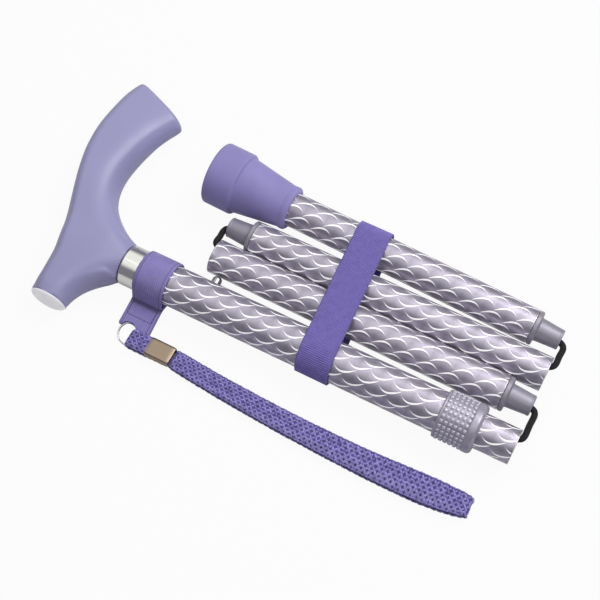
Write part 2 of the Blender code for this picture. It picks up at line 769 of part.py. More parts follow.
def make_cord_bend(name, parent, fold, parent_axis, end, shoulder, child_spacing):
    """The cord from a socket's floor round to the folded plug's bore, in the parent section's frame."""
    folded = fold.matrix_basis
    turn_to = 1 if folded.translation.y > parent_axis else -1
    half = CORD_DIAMETER / 2
    mouth = parent_axis + turn_to * (PLUG_BASE_DIAMETER / 2 + SOCKET_CLEARANCE - half - GAP)
    low_side = PLUG_BORE / 2 - half - GAP
    tip = shoulder - PLUG_LENGTH
    child_axis = -turn_to * child_spacing / 2

    def in_child(along, toward_parent):
        """A place in the folded section's frame, this far off its axis on the parent's side."""
        return folded @ Vector((along, child_axis + turn_to * toward_parent, 0))

    leaving = Vector((end, mouth, 0))
    entering = in_child(tip, low_side)
    out = max(end, entering.x) + half + CORD_TO_END
    bow = turn_to * half * 1.4
    points = [
        Vector((end - SOCKET_DEPTH, parent_axis, 0)),
        Vector((end - SOCKET_DEPTH * 0.75, parent_axis, 0)),
        Vector((end - SOCKET_DEPTH * 0.35, parent_axis + (mouth - parent_axis) * 0.6, 0)),
        leaving,
        Vector((out, leaving.y + bow, leaving.z)),
        Vector((out, (leaving.y + entering.y) / 2, (leaving.z + entering.z) / 2)),
        Vector((out, entering.y - bow, entering.z)),
        entering,
        in_child(tip + PLUG_LENGTH * 0.5, low_side * 0.8),
        in_child(shoulder, low_side * 0.3),
        in_child(shoulder + CORD_TAIL * 0.5, 0),
        in_child(shoulder + CORD_TAIL, 0),
    ]
    cord_tube(name, smooth_route([tuple(p) for p in points], 2), CORD_DIAMETER, BLACK_CORD, parent)


def make_anchor(name, frame, axis, start):
    end = start + ANCHOR_LENGTH
    profile = sleeve(straight(start, end, TUBE_BORE / 2 - FIT), straight(start, end, CORD_EYE / 2))
    turned(name, profile, GREY_PLASTIC, frame, (0, axis, 0))


def make_sections():
    tube_gap = PLUG_FLANGE + GAP
    make_socket("upper_socket", shaft, 0, INNER_END)
    make_anchor("upper_cord_anchor", shaft, 0, INNER_START + ANCHOR_TO_TOP)
    cord_top = INNER_START + ANCHOR_TO_TOP - 4 * MM
    make_cord_run("upper_cord_run", shaft, 0, cord_top, INNER_END - SOCKET_DEPTH - GAP)
    make_cord_bend("upper_cord_bend", shaft, upper_fold, 0, INNER_END, UPPER_SHOULDER, UPPER_SPACING)

    make_plug("section_2_plug", upper_fold, SECTION_2_AXIS, UPPER_SHOULDER)
    make_tube("section_2_tube", upper_fold, SECTION_2_AXIS, UPPER_SHOULDER + tube_gap, SECTION_2_END)
    make_socket("section_2_socket", upper_fold, SECTION_2_AXIS, SECTION_2_END)
    run_start = UPPER_SHOULDER + CORD_TAIL + CORD_SLACK
    make_cord_run("middle_cord_run", upper_fold, SECTION_2_AXIS, run_start, SECTION_2_END - SOCKET_DEPTH - GAP)
    make_cord_bend(
        "middle_cord_bend",
        upper_fold,
        middle_fold,
        SECTION_2_AXIS,
        SECTION_2_END,
        MIDDLE_SHOULDER,
        MIDDLE_SPACING,
    )

    make_plug("section_3_plug", middle_fold, SECTION_3_AXIS, MIDDLE_SHOULDER)
    make_tube("section_3_tube", middle_fold, SECTION_3_AXIS, MIDDLE_SHOULDER + tube_gap, SECTION_3_END)
    make_socket("section_3_socket", middle_fold, SECTION_3_AXIS, SECTION_3_END)
    run_start = MIDDLE_SHOULDER + CORD_TAIL + CORD_SLACK
    make_cord_run("lower_cord_run", middle_fold, SECTION_3_AXIS, run_start, SECTION_3_END - SOCKET_DEPTH - GAP)
    make_cord_bend(
        "lower_cord_bend",
        middle_fold,
        lower_fold,
        SECTION_3_AXIS,
        SECTION_3_END,
        LOWER_SHOULDER,
        LOWER_SPACING,
    )

    make_plug("foot_plug", lower_fold, SECTION_4_AXIS, LOWER_SHOULDER)
    washer_face = SOLE - SOLE_THICKNESS - GAP
    tube_end = washer_face - WASHER_THICKNESS - GAP
    make_tube("foot_tube", lower_fold, SECTION_4_AXIS, LOWER_SHOULDER + tube_gap, tube_end)
    anchor_start = SOLE - ANCHOR_TO_FOOT - ANCHOR_LENGTH
    make_anchor("foot_cord_anchor", lower_fold, SECTION_4_AXIS, anchor_start)
    cord_start = LOWER_SHOULDER + CORD_TAIL + GAP
    make_cord_run("foot_cord", lower_fold, SECTION_4_AXIS, cord_start, anchor_start + ANCHOR_LENGTH + 3 * MM)

    washer_start = washer_face - WASHER_THICKNESS
    washer = [(washer_face, 0), (washer_face, TUBE_OD / 2), (washer_start, TUBE_OD / 2), (washer_start, 0)]
    turned("ferrule_washer", washer, STEEL, lower_fold, (0, SECTION_4_AXIS, 0), closed=False)
    make_ferrule()


def make_ferrule():
    rim = FERRULE_RIM / 2
    mouth = SOLE - FERRULE_LENGTH
    rim_start = SOLE - FERRULE_RIM_LENGTH
    lip = FERRULE_MOUTH / 2
    bore = TUBE_OD / 2 + FIT
    pad = SOLE_PAD / 2
    groove = SOLE - GROOVE_DEPTH
    outer_pad = (pad + rim) / 2
    profile = [
        (SOLE, 0),
        (SOLE, pad),
        (groove, pad),
        (groove, pad + GROOVE_WIDTH),
        (SOLE, pad + GROOVE_WIDTH),
        (SOLE, outer_pad),
        (groove, outer_pad),
        (groove, outer_pad + GROOVE_WIDTH),
        (SOLE, outer_pad + GROOVE_WIDTH),
        (SOLE, rim - 0.8 * MM),
        (SOLE - 0.8 * MM, rim),
        (rim_start + 0.8 * MM, rim),
        (rim_start, rim - 0.7 * MM),
        (rim_start - 0.2 * MM, FERRULE_CONE / 2),
        (mouth + 3.6 * MM, lip - 0.2 * MM),
        (mouth + 2.6 * MM, lip),
        (mouth + 0.9 * MM, lip),
        (mouth, lip - 0.9 * MM),
        (mouth, bore),
        (SOLE - SOLE_THICKNESS, bore),
        (SOLE - SOLE_THICKNESS, 0),
    ]
    turned("ferrule", profile, LILAC_RUBBER, lower_fold, (0, SECTION_4_AXIS, 0), closed=False)


# Band round the folded tubes
def tubes_at(place):
    """Centre across, height and radius of each tube at this place along the cane."""
    found = [(0.0, AXIS_HEIGHT, UPPER_OD / 2)]
    for fold, axis in (
        (upper_fold, SECTION_2_AXIS),
        (middle_fold, SECTION_3_AXIS),
        (lower_fold, SECTION_4_AXIS),
    ):
        start = fold.matrix_world @ Vector((0, axis, 0))
        end = fold.matrix_world @ Vector((SECTION_2, axis, 0))
        centre = start.lerp(end, (place - start.x) / (end.x - start.x))
        found.append((centre.y, centre.z, TUBE_OD / 2))
    return found


def hull_round(circles, offset):
    samples = []
    for across, up, radius in circles:
        for step in range(40):
            angle = 2 * math.pi * step / 40
            reach = radius + offset
            samples.append(Vector((across + reach * math.cos(angle), up + reach * math.sin(angle))))
    return [tuple(samples[index]) for index in convex_hull_2d(samples)]


def make_band():
    """A belt round the tubes as they lie under both its edges, which leans as a whole across them."""
    place, across = BAND_MIDDLE
    circles = []
    for side in (-1, 1):
        circles += [(centre - across, up, radius) for centre, up, radius in tubes_at(place + side * BAND_WIDTH / 2)]
    inside = hull_round(circles, BAND_CLEARANCE)
    outside = hull_round(circles, BAND_CLEARANCE + BAND_THICKNESS)
    belt = extruded(
        "elastic_band", (outside, inside), BAND_WIDTH, PURPLE_FABRIC, cane, (place, across, 0), ACROSS_X
    )
    belt = as_mesh(belt)
    lean = math.tan(math.radians(BAND_LEAN))
    for vertex in belt.data.vertices:
        vertex.co.z -= vertex.co.x * lean


# Wrist strap and what holds it
def make_split_ring():
    def build(bm):
        steps = 30
        sides = 6
        rows = []
        for step in range(steps):
            turn = 2 * math.pi * step / steps
            row = []
            for side in range(sides):
                angle = 2 * math.pi * side / sides
                reach = RING_MIDDLE_DIAMETER / 2 + RING_WIRE / 2 * math.cos(angle)
                row.append(
                    bm.verts.new((reach * math.cos(turn), reach * math.sin(turn), RING_WIRE / 2 * math.sin(angle)))
                )
            rows.append(row)
        for first, second in zip(rows, rows[1:] + rows[:1]):
            for side in range(sides):
                other = (side + 1) % sides
                bm.faces.new((first[side], second[side], second[other], first[other]))

    mesh = mesh_from(build, "split_ring")
    mesh.shade_smooth()
    return add_piece("split_ring", mesh, STEEL, cane, RING_CENTRE, (math.radians(RING_TILT), 0, 0))


def ring_channel(name):
    """A fatter ring that clears the split ring's wire from what it passes through."""
    bpy.ops.mesh.primitive_torus_add(
        major_segments=30,
        minor_segments=8,
        major_radius=RING_MIDDLE_DIAMETER / 2,
        minor_radius=RING_WIRE / 2 + GAP,
    )
    channel = bpy.context.object
    channel.name = name
    for owner in list(channel.users_collection):
        owner.objects.unlink(channel)
    CUTTERS.objects.link(channel)
    channel.parent = cane
    channel.location = RING_CENTRE
    channel.rotation_euler = (math.radians(RING_TILT), 0, 0)
    channel.hide_render = True
    channel.display_type = "WIRE"
    return channel


def make_webbing():
    inner = UPPER_OD / 2 + GAP
    outer = inner + WEBBING_THICKNESS
    steps = TUBE_STEPS
    hole = [
        (inner * math.cos(2 * math.pi * step / steps), inner * math.sin(2 * math.pi * step / steps))
        for step in range(steps)
    ]
    end = Vector(TAIL_END)
    start = Vector((-outer + 0.6 * MM, -5.6 * MM))
    along = (end - start).normalized()
    side = Vector((-along.y, along.x))  # along runs down and outward, so this points down
    half = TAIL_THICKNESS / 2
    waist = 1.3 * MM
    tail = [
        start + along * 2.4 * MM - side * waist,
        start + along * 6.5 * MM - side * (waist + 0.2 * MM),
        end - along * 5.5 * MM - side * half,
    ]
    round_centre = end - along * half
    for step in range(7):
        angle = math.pi * step / 6
        tail.append(round_centre - side * half * math.cos(angle) + along * half * math.sin(angle))
    tail += [
        end - along * 5.5 * MM + side * half,
        start + along * 6.5 * MM + side * (waist + 0.2 * MM),
        start + along * 2.4 * MM + side * waist,
    ]
    arc_start = math.radians(222)
    arc_end = math.radians(360 + 182)
    wrap = []
    for step in range(steps + 1):
        angle = arc_start + (arc_end - arc_start) * step / steps
        wrap.append((outer * math.cos(angle), outer * math.sin(angle)))
    outline = wrap + [tuple(point) for point in tail]
    middle = UPPER_START + WEBBING_PLACE + WEBBING_WIDTH / 2
    loop = extruded(
        "webbing_loop", (outline, hole), WEBBING_WIDTH, PURPLE_FABRIC, shaft, (middle, 0, 0), ACROSS_X
    )
    loop = as_mesh(loop)
    cut(loop, ring_channel("webbing_channel"))


def rounded_box(name, size, finish, location, edge, hole=None):
    """A box of this size with rounded long edges, and a hole of this height and width along X."""
    length, width, height = size

    def outline(half_width, half_height, corner):
        points = []
        for corner_index, (across, up) in enumerate(((1, 1), (-1, 1), (-1, -1), (1, -1))):
            for step in range(5):
                angle = math.radians(90 * corner_index + 90 * step / 4)
                points.append(
                    (
                        across * (half_width - corner) + corner * math.cos(angle),
                        up * (half_height - corner) + corner * math.sin(angle),
                    )
                )
        return points

    outlines = [outline(width / 2, height / 2, edge)]
    if hole:
        outlines.append(outline(hole[0] / 2, hole[1] / 2, edge * 0.6))
    return extruded(name, outlines, length, finish, cane, location, ACROSS_X)


def build_strap(bm):
    """The flat braid along its route, its width kept level."""
    points = [Vector(point) * MM for point in smooth_route(STRAP_ROUTE, 2)]
    half_width = STRAP_WIDTH / 2
    half_thickness = STRAP_THICKNESS / 2
    corner = half_thickness * 0.6
    section = [
        (half_width, half_thickness - corner),
        (half_width - corner, half_thickness),
        (corner - half_width, half_thickness),
        (-half_width, half_thickness - corner),
        (-half_width, corner - half_thickness),
        (corner - half_width, -half_thickness),
        (half_width - corner, -half_thickness),
        (half_width, corner - half_thickness),
    ]
    rows = []
    for before, here, after in zip(points[:1] + points, points, points[1:] + points[-1:]):
        tangent = (after - before).normalized()
        level = Vector((0, 1, 0))
        side = (level - level.dot(tangent) * tangent).normalized()
        normal = tangent.cross(side)
        rows.append([bm.verts.new(here + side * across + normal * up) for across, up in section])
    count = len(section)
    for first, second in zip(rows, rows[1:]):
        for index in range(count):
            other = (index + 1) % count
            bm.faces.new((first[index], second[index], second[other], first[other]))
    bm.faces.new(rows[0])
    bm.faces.new(list(reversed(rows[-1])))
    bmesh.ops.recalc_face_normals(bm, faces=bm.faces)


def make_strap():
    crimp_middle = (CRIMP_START + CRIMP_LENGTH / 2, CRIMP_ACROSS, CRIMP_HEIGHT / 2 + 0.1 * MM)
    opening = (CRIMP_WIDTH - 2 * CRIMP_WALL, CRIMP_HEIGHT - 2 * CRIMP_WALL)
    crimp_size = (CRIMP_LENGTH, CRIMP_WIDTH, CRIMP_HEIGHT)
    rounded_box("strap_crimp", crimp_size, BRONZE, crimp_middle, 1.2 * MM, opening)

    loop_width = opening[0] - 2 * GAP
    loop_height = opening[1] - 2 * GAP
    loop_end = CRIMP_START + CRIMP_LENGTH
    half = loop_height / 2
    outline = [(loop_end, -half), (loop_end, half)]
    for step in range(9):
        angle = math.radians(90 + 180 * step / 8)
        outline.append((LOOP_START + half + half * math.cos(angle), half * math.sin(angle)))
    centre = (0, CRIMP_ACROSS, crimp_middle[2])
    upright = (math.radians(90), 0, 0)
    loop = extruded("strap_loop", (outline,), loop_width, PURPLE_FABRIC, cane, centre, upright)
    cut(as_mesh(loop), ring_channel("loop_channel"))

    add_piece("wrist_strap", mesh_from(build_strap, "wrist_strap"), PURPLE_FABRIC, cane)


def centre_on_base(strap_pieces):
    """Puts the origin under the middle of the cane, the strap and what is on it left out, on its base."""
    bpy.context.view_layer.update()
    graph = bpy.context.evaluated_depsgraph_get()
    low = Vector((math.inf,) * 3)
    high = Vector((-math.inf,) * 3)
    for obj in CANE.objects:
        if obj.type == "EMPTY" or obj.name in strap_pieces:
            continue
        evaluated = obj.evaluated_get(graph)
        mesh = evaluated.to_mesh()
        for vertex in mesh.vertices:
            place = evaluated.matrix_world @ vertex.co
            low = Vector(map(min, low, place))
            high = Vector(map(max, high, place))
        evaluated.to_mesh_clear()
    cane.location = (-(low.x + high.x) / 2, -(low.y + high.y) / 2, -low.z)


bpy.context.view_layer.update()
make_handle()
make_height_adjustment()
make_sections()
make_band()
make_split_ring()
make_webbing()
make_strap()
centre_on_base(("wrist_strap", "strap_crimp", "strap_loop", "split_ring"))
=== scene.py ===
"""Finishes, fine pieces, stage and camera for the folded walking cane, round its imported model."""

import json
import math
import random

import bmesh
import bpy
from bpy.props import FloatProperty, FloatVectorProperty, IntProperty, PointerProperty
from mathutils import Matrix, Vector
from mathutils.geometry import convex_hull_2d
from mathutils.kdtree import KDTree
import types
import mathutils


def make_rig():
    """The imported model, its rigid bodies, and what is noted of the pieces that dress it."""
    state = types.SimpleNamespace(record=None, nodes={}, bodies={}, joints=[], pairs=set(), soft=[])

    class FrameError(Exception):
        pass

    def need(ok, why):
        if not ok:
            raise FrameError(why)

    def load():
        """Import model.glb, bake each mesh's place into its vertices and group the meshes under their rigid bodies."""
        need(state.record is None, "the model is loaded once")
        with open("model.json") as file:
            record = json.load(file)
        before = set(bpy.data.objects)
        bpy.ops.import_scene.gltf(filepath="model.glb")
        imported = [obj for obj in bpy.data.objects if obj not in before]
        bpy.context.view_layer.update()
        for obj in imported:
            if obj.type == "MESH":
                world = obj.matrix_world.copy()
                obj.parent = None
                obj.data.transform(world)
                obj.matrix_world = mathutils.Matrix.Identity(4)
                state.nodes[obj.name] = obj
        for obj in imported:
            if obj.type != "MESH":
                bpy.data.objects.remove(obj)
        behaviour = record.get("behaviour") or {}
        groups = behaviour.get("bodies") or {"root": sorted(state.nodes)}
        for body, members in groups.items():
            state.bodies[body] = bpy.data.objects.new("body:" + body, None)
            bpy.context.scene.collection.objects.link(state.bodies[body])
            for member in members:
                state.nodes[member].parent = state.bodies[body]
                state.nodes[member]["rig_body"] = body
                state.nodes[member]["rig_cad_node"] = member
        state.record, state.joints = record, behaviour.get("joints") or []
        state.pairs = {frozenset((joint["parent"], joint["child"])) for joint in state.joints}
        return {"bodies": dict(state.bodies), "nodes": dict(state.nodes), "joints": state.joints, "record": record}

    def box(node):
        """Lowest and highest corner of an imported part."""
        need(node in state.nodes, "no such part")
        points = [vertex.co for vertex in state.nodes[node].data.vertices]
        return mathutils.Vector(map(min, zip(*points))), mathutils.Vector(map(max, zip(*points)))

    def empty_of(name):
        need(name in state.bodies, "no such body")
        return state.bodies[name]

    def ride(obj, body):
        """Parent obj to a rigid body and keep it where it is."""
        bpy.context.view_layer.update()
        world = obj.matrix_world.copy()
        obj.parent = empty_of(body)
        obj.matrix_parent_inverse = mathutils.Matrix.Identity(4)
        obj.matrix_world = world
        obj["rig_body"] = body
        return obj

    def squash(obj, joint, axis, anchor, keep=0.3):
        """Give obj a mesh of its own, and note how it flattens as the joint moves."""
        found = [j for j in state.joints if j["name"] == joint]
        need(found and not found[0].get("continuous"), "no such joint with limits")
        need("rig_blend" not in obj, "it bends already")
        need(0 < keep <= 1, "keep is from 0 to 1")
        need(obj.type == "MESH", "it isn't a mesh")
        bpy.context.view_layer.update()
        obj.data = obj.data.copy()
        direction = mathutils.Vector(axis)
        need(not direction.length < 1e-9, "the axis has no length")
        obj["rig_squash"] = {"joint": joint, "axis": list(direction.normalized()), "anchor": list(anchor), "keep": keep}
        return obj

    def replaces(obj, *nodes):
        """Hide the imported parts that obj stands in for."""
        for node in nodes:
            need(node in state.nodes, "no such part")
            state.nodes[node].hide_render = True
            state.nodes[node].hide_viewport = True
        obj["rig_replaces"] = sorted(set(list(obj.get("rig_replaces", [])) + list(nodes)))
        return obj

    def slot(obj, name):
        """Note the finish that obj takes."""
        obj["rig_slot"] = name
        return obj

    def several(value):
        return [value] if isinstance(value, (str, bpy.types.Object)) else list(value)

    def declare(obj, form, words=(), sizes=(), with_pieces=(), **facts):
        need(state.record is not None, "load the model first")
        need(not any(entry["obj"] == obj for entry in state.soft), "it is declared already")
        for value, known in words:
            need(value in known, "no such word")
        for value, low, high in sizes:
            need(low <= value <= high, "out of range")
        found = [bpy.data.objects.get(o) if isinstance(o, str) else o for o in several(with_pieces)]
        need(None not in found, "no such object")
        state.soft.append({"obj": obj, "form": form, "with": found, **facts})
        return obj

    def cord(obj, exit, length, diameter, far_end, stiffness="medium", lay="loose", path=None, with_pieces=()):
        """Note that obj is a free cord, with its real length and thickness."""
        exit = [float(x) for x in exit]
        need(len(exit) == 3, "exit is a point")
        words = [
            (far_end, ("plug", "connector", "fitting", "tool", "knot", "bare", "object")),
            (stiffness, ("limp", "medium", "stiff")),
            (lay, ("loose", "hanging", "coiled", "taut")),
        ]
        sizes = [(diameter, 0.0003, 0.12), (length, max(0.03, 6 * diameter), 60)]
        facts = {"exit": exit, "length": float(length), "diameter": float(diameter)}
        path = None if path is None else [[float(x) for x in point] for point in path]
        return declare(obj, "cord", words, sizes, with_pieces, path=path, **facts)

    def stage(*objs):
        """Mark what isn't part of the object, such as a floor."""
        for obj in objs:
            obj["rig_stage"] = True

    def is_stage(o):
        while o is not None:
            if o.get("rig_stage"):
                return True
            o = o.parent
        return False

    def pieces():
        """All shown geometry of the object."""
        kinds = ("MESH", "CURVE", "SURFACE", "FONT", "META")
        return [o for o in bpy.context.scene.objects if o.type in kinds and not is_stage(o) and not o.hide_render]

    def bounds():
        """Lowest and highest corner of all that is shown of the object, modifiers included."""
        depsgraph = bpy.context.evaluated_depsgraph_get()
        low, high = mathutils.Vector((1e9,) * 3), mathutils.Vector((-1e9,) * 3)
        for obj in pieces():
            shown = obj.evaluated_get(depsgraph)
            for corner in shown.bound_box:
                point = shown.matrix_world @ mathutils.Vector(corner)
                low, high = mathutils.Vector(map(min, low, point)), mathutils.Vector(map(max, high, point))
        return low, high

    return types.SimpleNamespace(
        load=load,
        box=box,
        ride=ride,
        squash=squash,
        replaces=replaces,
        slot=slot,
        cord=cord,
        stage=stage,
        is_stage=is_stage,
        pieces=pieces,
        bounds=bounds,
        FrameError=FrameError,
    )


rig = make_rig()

bl_info = {
    "name": "Folding walking cane",
    "version": (1, 0, 0),
    "blender": (4, 5, 0),
    "location": "3D View > Sidebar > Cane",
    "description": "Dresses the packed model of a folding walking cane",
    "category": "Add Mesh",
}

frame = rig.load()
CAD_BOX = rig.bounds()
NODES = frame["nodes"]
JOINTS = {joint["name"]: joint for joint in frame["joints"]}
ALONG, ACROSS, UP = Vector((1, 0, 0)), Vector((0, 1, 0)), Vector((0, 0, 1))
MM = 0.001


# Places that come from the frame are in metres, and sizes in mm
def middle_of(node):
    low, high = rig.box(node)
    return (low + high) / 2


def radius_of(node):
    low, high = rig.box(node)
    return (high.z - low.z) / 2 / MM


def lying(direction, origin):
    """A frame with X down one section, as it lies, and Z nearest to up."""
    across = UP.cross(direction).normalized()
    turned = Matrix((direction, across, direction.cross(across))).transposed().to_4x4()
    return Matrix.Translation(origin) @ turned


SHAFT_START = Vector(JOINTS["ring_turn"]["pos_m"])
BASE = Vector((SHAFT_START.x, SHAFT_START.y, CAD_BOX[0].z))
SOLE = next(mount for mount in frame["record"]["mounts"] if mount["name"] == "ferrule_sole")
DOWN_3 = Vector(JOINTS["seat_middle"]["axis"]).normalized()
SHAFT = lying(ALONG, SHAFT_START)
SECTION_2 = lying(-DOWN_3, middle_of("section_2_tube"))
SECTION_3 = lying(DOWN_3, middle_of("section_3_tube"))
FOOT = lying(Vector(SOLE["axis"]).normalized(), Vector(SOLE["pos_m"]))

UPPER_RADIUS = radius_of("upper_tube")
TUBE_RADIUS = radius_of("section_2_tube")
COLLAR_RADIUS = 11.25
COLLAR_OVER = 2.4
WALL = 1.2
RIM = 0.75
GROOVE_DEPTH = 0.1
HOLE_RADIUS = 2.95
HOLE_PITCH = 20.0
HOLES = {"upper_tube": 7, "inner_tube": 1}
PLUG_TIP = 13.2
PLUG_FLANGE = 2.5
PLUG_INSERT = 12.0
PLUG_BORE = 3.4
BUTTON_SHANK = 2.7
BUTTON_DOME = 2.5
BUTTON_TRAVEL = 4.4
CORD_RADIUS = 1.7


def on_shaft(place):
    """A place in mm from the collar's handle edge, the upper tube's axis and the floor, in the frame."""
    return BASE + Vector(place) * MM


def shaft_x(value):
    """A place along X in the frame as mm from the shaft's start."""
    return (value - SHAFT_START.x) / MM


def reach_of(node, turned):
    """Where a round node starts and ends along its own axis, in mm."""
    low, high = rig.box(node)
    axis = turned.to_3x3().col[0]
    radius = (high.z - low.z) / 2
    half = ((high.x - low.x) / 2 - radius * math.sqrt(max(0.0, 1 - axis.x**2))) / abs(axis.x)
    middle = (turned.inverted() @ middle_of(node)).x
    return (middle - half) / MM, (middle + half) / MM


def axis_point(turned, x):
    """The point of a section's axis at this X."""
    axis, origin = turned.to_3x3().col[0], turned.translation
    return origin + axis * ((x - origin.x) / axis.x)


def on_axis(turned, x):
    """The point of a section's axis this many mm along it."""
    return turned @ Vector((x * MM, 0, 0))


# Making pieces
def paint(obj, material):
    obj.data.materials.clear()
    obj.data.materials.append(material)


def object_from(name, mesh, material=None):
    made = bpy.data.objects.new(name, mesh)
    bpy.context.scene.collection.objects.link(made)
    if material:
        paint(made, material)
    return made


def mesh_of(name, bm):
    mesh = bpy.data.meshes.new(name)
    bm.to_mesh(mesh)
    bm.free()
    return mesh


def finished(obj):
    """The same object with its modifiers applied."""
    graph = bpy.context.evaluated_depsgraph_get()
    mesh = bpy.data.meshes.new_from_object(obj.evaluated_get(graph))
    obj.modifiers.clear()
    obj.data = mesh
    return obj


def modified(obj, kind, **settings):
    """The same object with one modifier applied."""
    modifier = obj.modifiers.new(kind.lower(), kind)
    for setting, value in settings.items():
        setattr(modifier, setting, value)
    return finished(obj)


def smooth(obj, angle=40):
    obj.data.shade_smooth()
    obj.data.set_sharp_from_angle(angle=math.radians(angle))
    return obj


def dress(obj, body, slot, *nodes):
    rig.ride(obj, body)
    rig.slot(obj, slot)
    if nodes:
        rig.replaces(obj, *nodes)
    return obj


def merged(node):
    """A node's loose triangles as one skin."""
    bm = bmesh.new()
    bm.from_mesh(NODES[node].data)
    bmesh.ops.remove_doubles(bm, verts=bm.verts, dist=0.002 * MM)
    return bm


def rounded_copy(node, name, material, crease=60):
    """A finer copy of a node: its corners stay, and what lies between them is rounded."""
    bm = merged(node)
    bmesh.ops.dissolve_limit(bm, angle_limit=0.002, verts=bm.verts, edges=bm.edges)
    creases = bm.edges.layers.float.new("crease_edge")
    for edge in bm.edges:
        if edge.calc_face_angle(0) > math.radians(crease):
            edge[creases] = 1
    made = object_from(name, mesh_of(name, bm), material)
    return smooth(modified(made, "SUBSURF", levels=1, render_levels=1), crease)


def cut_rod(obj, place, half_size, segments, turn=0.0):
    """The object with a rod's shape taken out, upright or turned about X; its half size is in mm."""
    bm = bmesh.new()
    bmesh.ops.create_cone(bm, cap_ends=True, segments=segments, radius1=1.0, radius2=1.0, depth=2.0)
    bmesh.ops.scale(bm, verts=bm.verts, vec=Vector(half_size) * MM)
    bmesh.ops.rotate(bm, verts=bm.verts, matrix=Matrix.Rotation(turn, 3, "X"))
    bmesh.ops.translate(bm, verts=bm.verts, vec=place)
    rod = object_from("rod", mesh_of("rod", bm))
    modified(obj, "BOOLEAN", operation="DIFFERENCE", solver="EXACT", object=rod)
    bpy.data.objects.remove(rod)


def filleted(profile, radius, closed):
    """The profile with its corners rounded and a point close to each end of a long side, all in mm."""
    points = [Vector(point) for point in profile]
    ends = () if closed else (0, len(points) - 1)
    found = []
    for index, here in enumerate(points):
        before = points[index - 1] - here
        after = points[(index + 1) % len(points)] - here
        reach = min(radius, before.length * 0.4, after.length * 0.4)
        if index in ends or before.angle(after) > math.radians(160) or reach <= 0:
            found.append(here)
            continue
        start = here + before.normalized() * reach
        end = here + after.normalized() * reach
        for t in (0, 1 / 3, 2 / 3, 1):
            found.append(start * (1 - t) ** 2 + here * 2 * t * (1 - t) + end * t**2)
    held = []
    for first, second in zip(found, found[1:] + found[:1] if closed else found[1:]):
        held.append(first)
        length = (second - first).length
        if length > 1.2:
            steps = math.ceil(length / 12)
            shares = [0.25 / length, *(step / steps for step in range(1, steps)), 1 - 0.25 / length]
            held += [first.lerp(second, share) for share in shares]
    return held if closed else held + found[-1:]


def skin(rows, rows_closed, round_closed, uv_of):
    """Rows of points joined face by face; rows that don't close on each other are capped."""
    bm = bmesh.new()
    uv = bm.loops.layers.uv.new("UVMap")
    count, sides = len(rows), len(rows[0])
    verts = [[bm.verts.new(point) for point in row] for row in rows]
    for row in range(count if rows_closed else count - 1):
        for side in range(sides if round_closed else sides - 1):
            corners = ((row, side), (row + 1, side), (row + 1, side + 1), (row, side + 1))
            face = bm.faces.new([verts[a % count][b % sides] for a, b in corners])
            for loop, corner in zip(face.loops, corners):
                loop[uv].uv = uv_of(*corner)
    if not rows_closed:
        bm.faces.new(verts[0])
        bm.faces.new(verts[-1][::-1])
    return bm


def skinned(name, bm, material):
    bmesh.ops.recalc_face_normals(bm, faces=bm.faces)
    return smooth(object_from(name, mesh_of(name, bm), material))


def lathe(name, profile, turned, material, sides=72, corner=0.2):
    """A profile of (place along the axis, radius) in mm, turned; its UV map is in metres."""
    radii = [radius for _, radius in profile]
    closed = min(radii) > 0
    ring = [point * MM for point in filleted(profile, corner, closed)]
    girth = 2 * math.pi * max(radii) * MM
    columns = []
    for side in range(sides):
        angle = 2 * math.pi * side / sides
        around = Vector((0, math.sin(angle), -math.cos(angle)))
        columns.append([turned @ (ALONG * x + around * radius) for x, radius in ring])
    bm = skin(columns, True, closed, lambda turn, row: (ring[row % len(ring)].x, girth * turn / sides))
    bmesh.ops.remove_doubles(bm, verts=bm.verts, dist=0.001 * MM)
    return skinned(name, bm, material)


def sleeve(outer, bore):
    """A tube's closed profile: its outer side and its bore, each from start to end."""
    return [*outer, *reversed(bore)]


def leveled(tangent, level):
    """The directions across a path and out of it, the first as near to level as it goes."""
    side = (level - level.dot(tangent) * tangent).normalized()
    return side, tangent.cross(side)


def swept(name, path, section, material, level=ACROSS, closed=False):
    """A section of (across, up) carried along a path; its UV map is in metres along and round it."""
    count = len(path)
    rows = []
    runs = [0.0]
    for index, here in enumerate(path):
        following = path[(index + 1) % count]
        before = path[index - 1] if closed or index else here
        after = following if closed or index < count - 1 else here
        side, normal = leveled((after - before).normalized(), level)
        rows.append([here + side * a + normal * b for a, b in section])
        runs.append(runs[-1] + (following - here).length)
    points = [Vector(point) for point in section]
    around = [0.0]
    for first, second in zip(points, points[1:] + points[:1]):
        around.append(around[-1] + (second - first).length)
    return skinned(name, skin(rows, closed, True, lambda row, side: (runs[row], around[side])), material)


def circle(radius, count):
    turns = [2 * math.pi * step / count for step in range(count)]
    return [(radius * math.cos(turn), radius * math.sin(turn)) for turn in turns]


def flat_section(width, thickness, sides=28, power=4.0):
    """A flat braid's oval section, as (across, up) points evenly far apart."""
    fine = []
    for across, up in circle(1.0, 720):
        x = width / 2 * math.copysign(abs(across) ** (2 / power), across)
        fine.append(Vector((x, thickness / 2 * math.copysign(abs(up) ** (2 / power), up))))
    return evenly(fine + fine[:1], sides, True)


def length_of(points):
    return sum((second - first).length for first, second in zip(points, points[1:]))


def evenly(points, count, closed=False):
    """This many points evenly far apart along a line of points."""
    lengths = [0.0]
    for first, second in zip(points, points[1:]):
        lengths.append(lengths[-1] + (second - first).length)
    steps = count if closed else count - 1
    found = []
    index = 0
    for step in range(count):
        place = lengths[-1] * step / steps
        while index < len(points) - 2 and lengths[index + 1] < place:
            index += 1
        span = lengths[index + 1] - lengths[index]
        share = (place - lengths[index]) / span if span > 0 else 0.0
        found.append(points[index].lerp(points[index + 1], share))
    return found


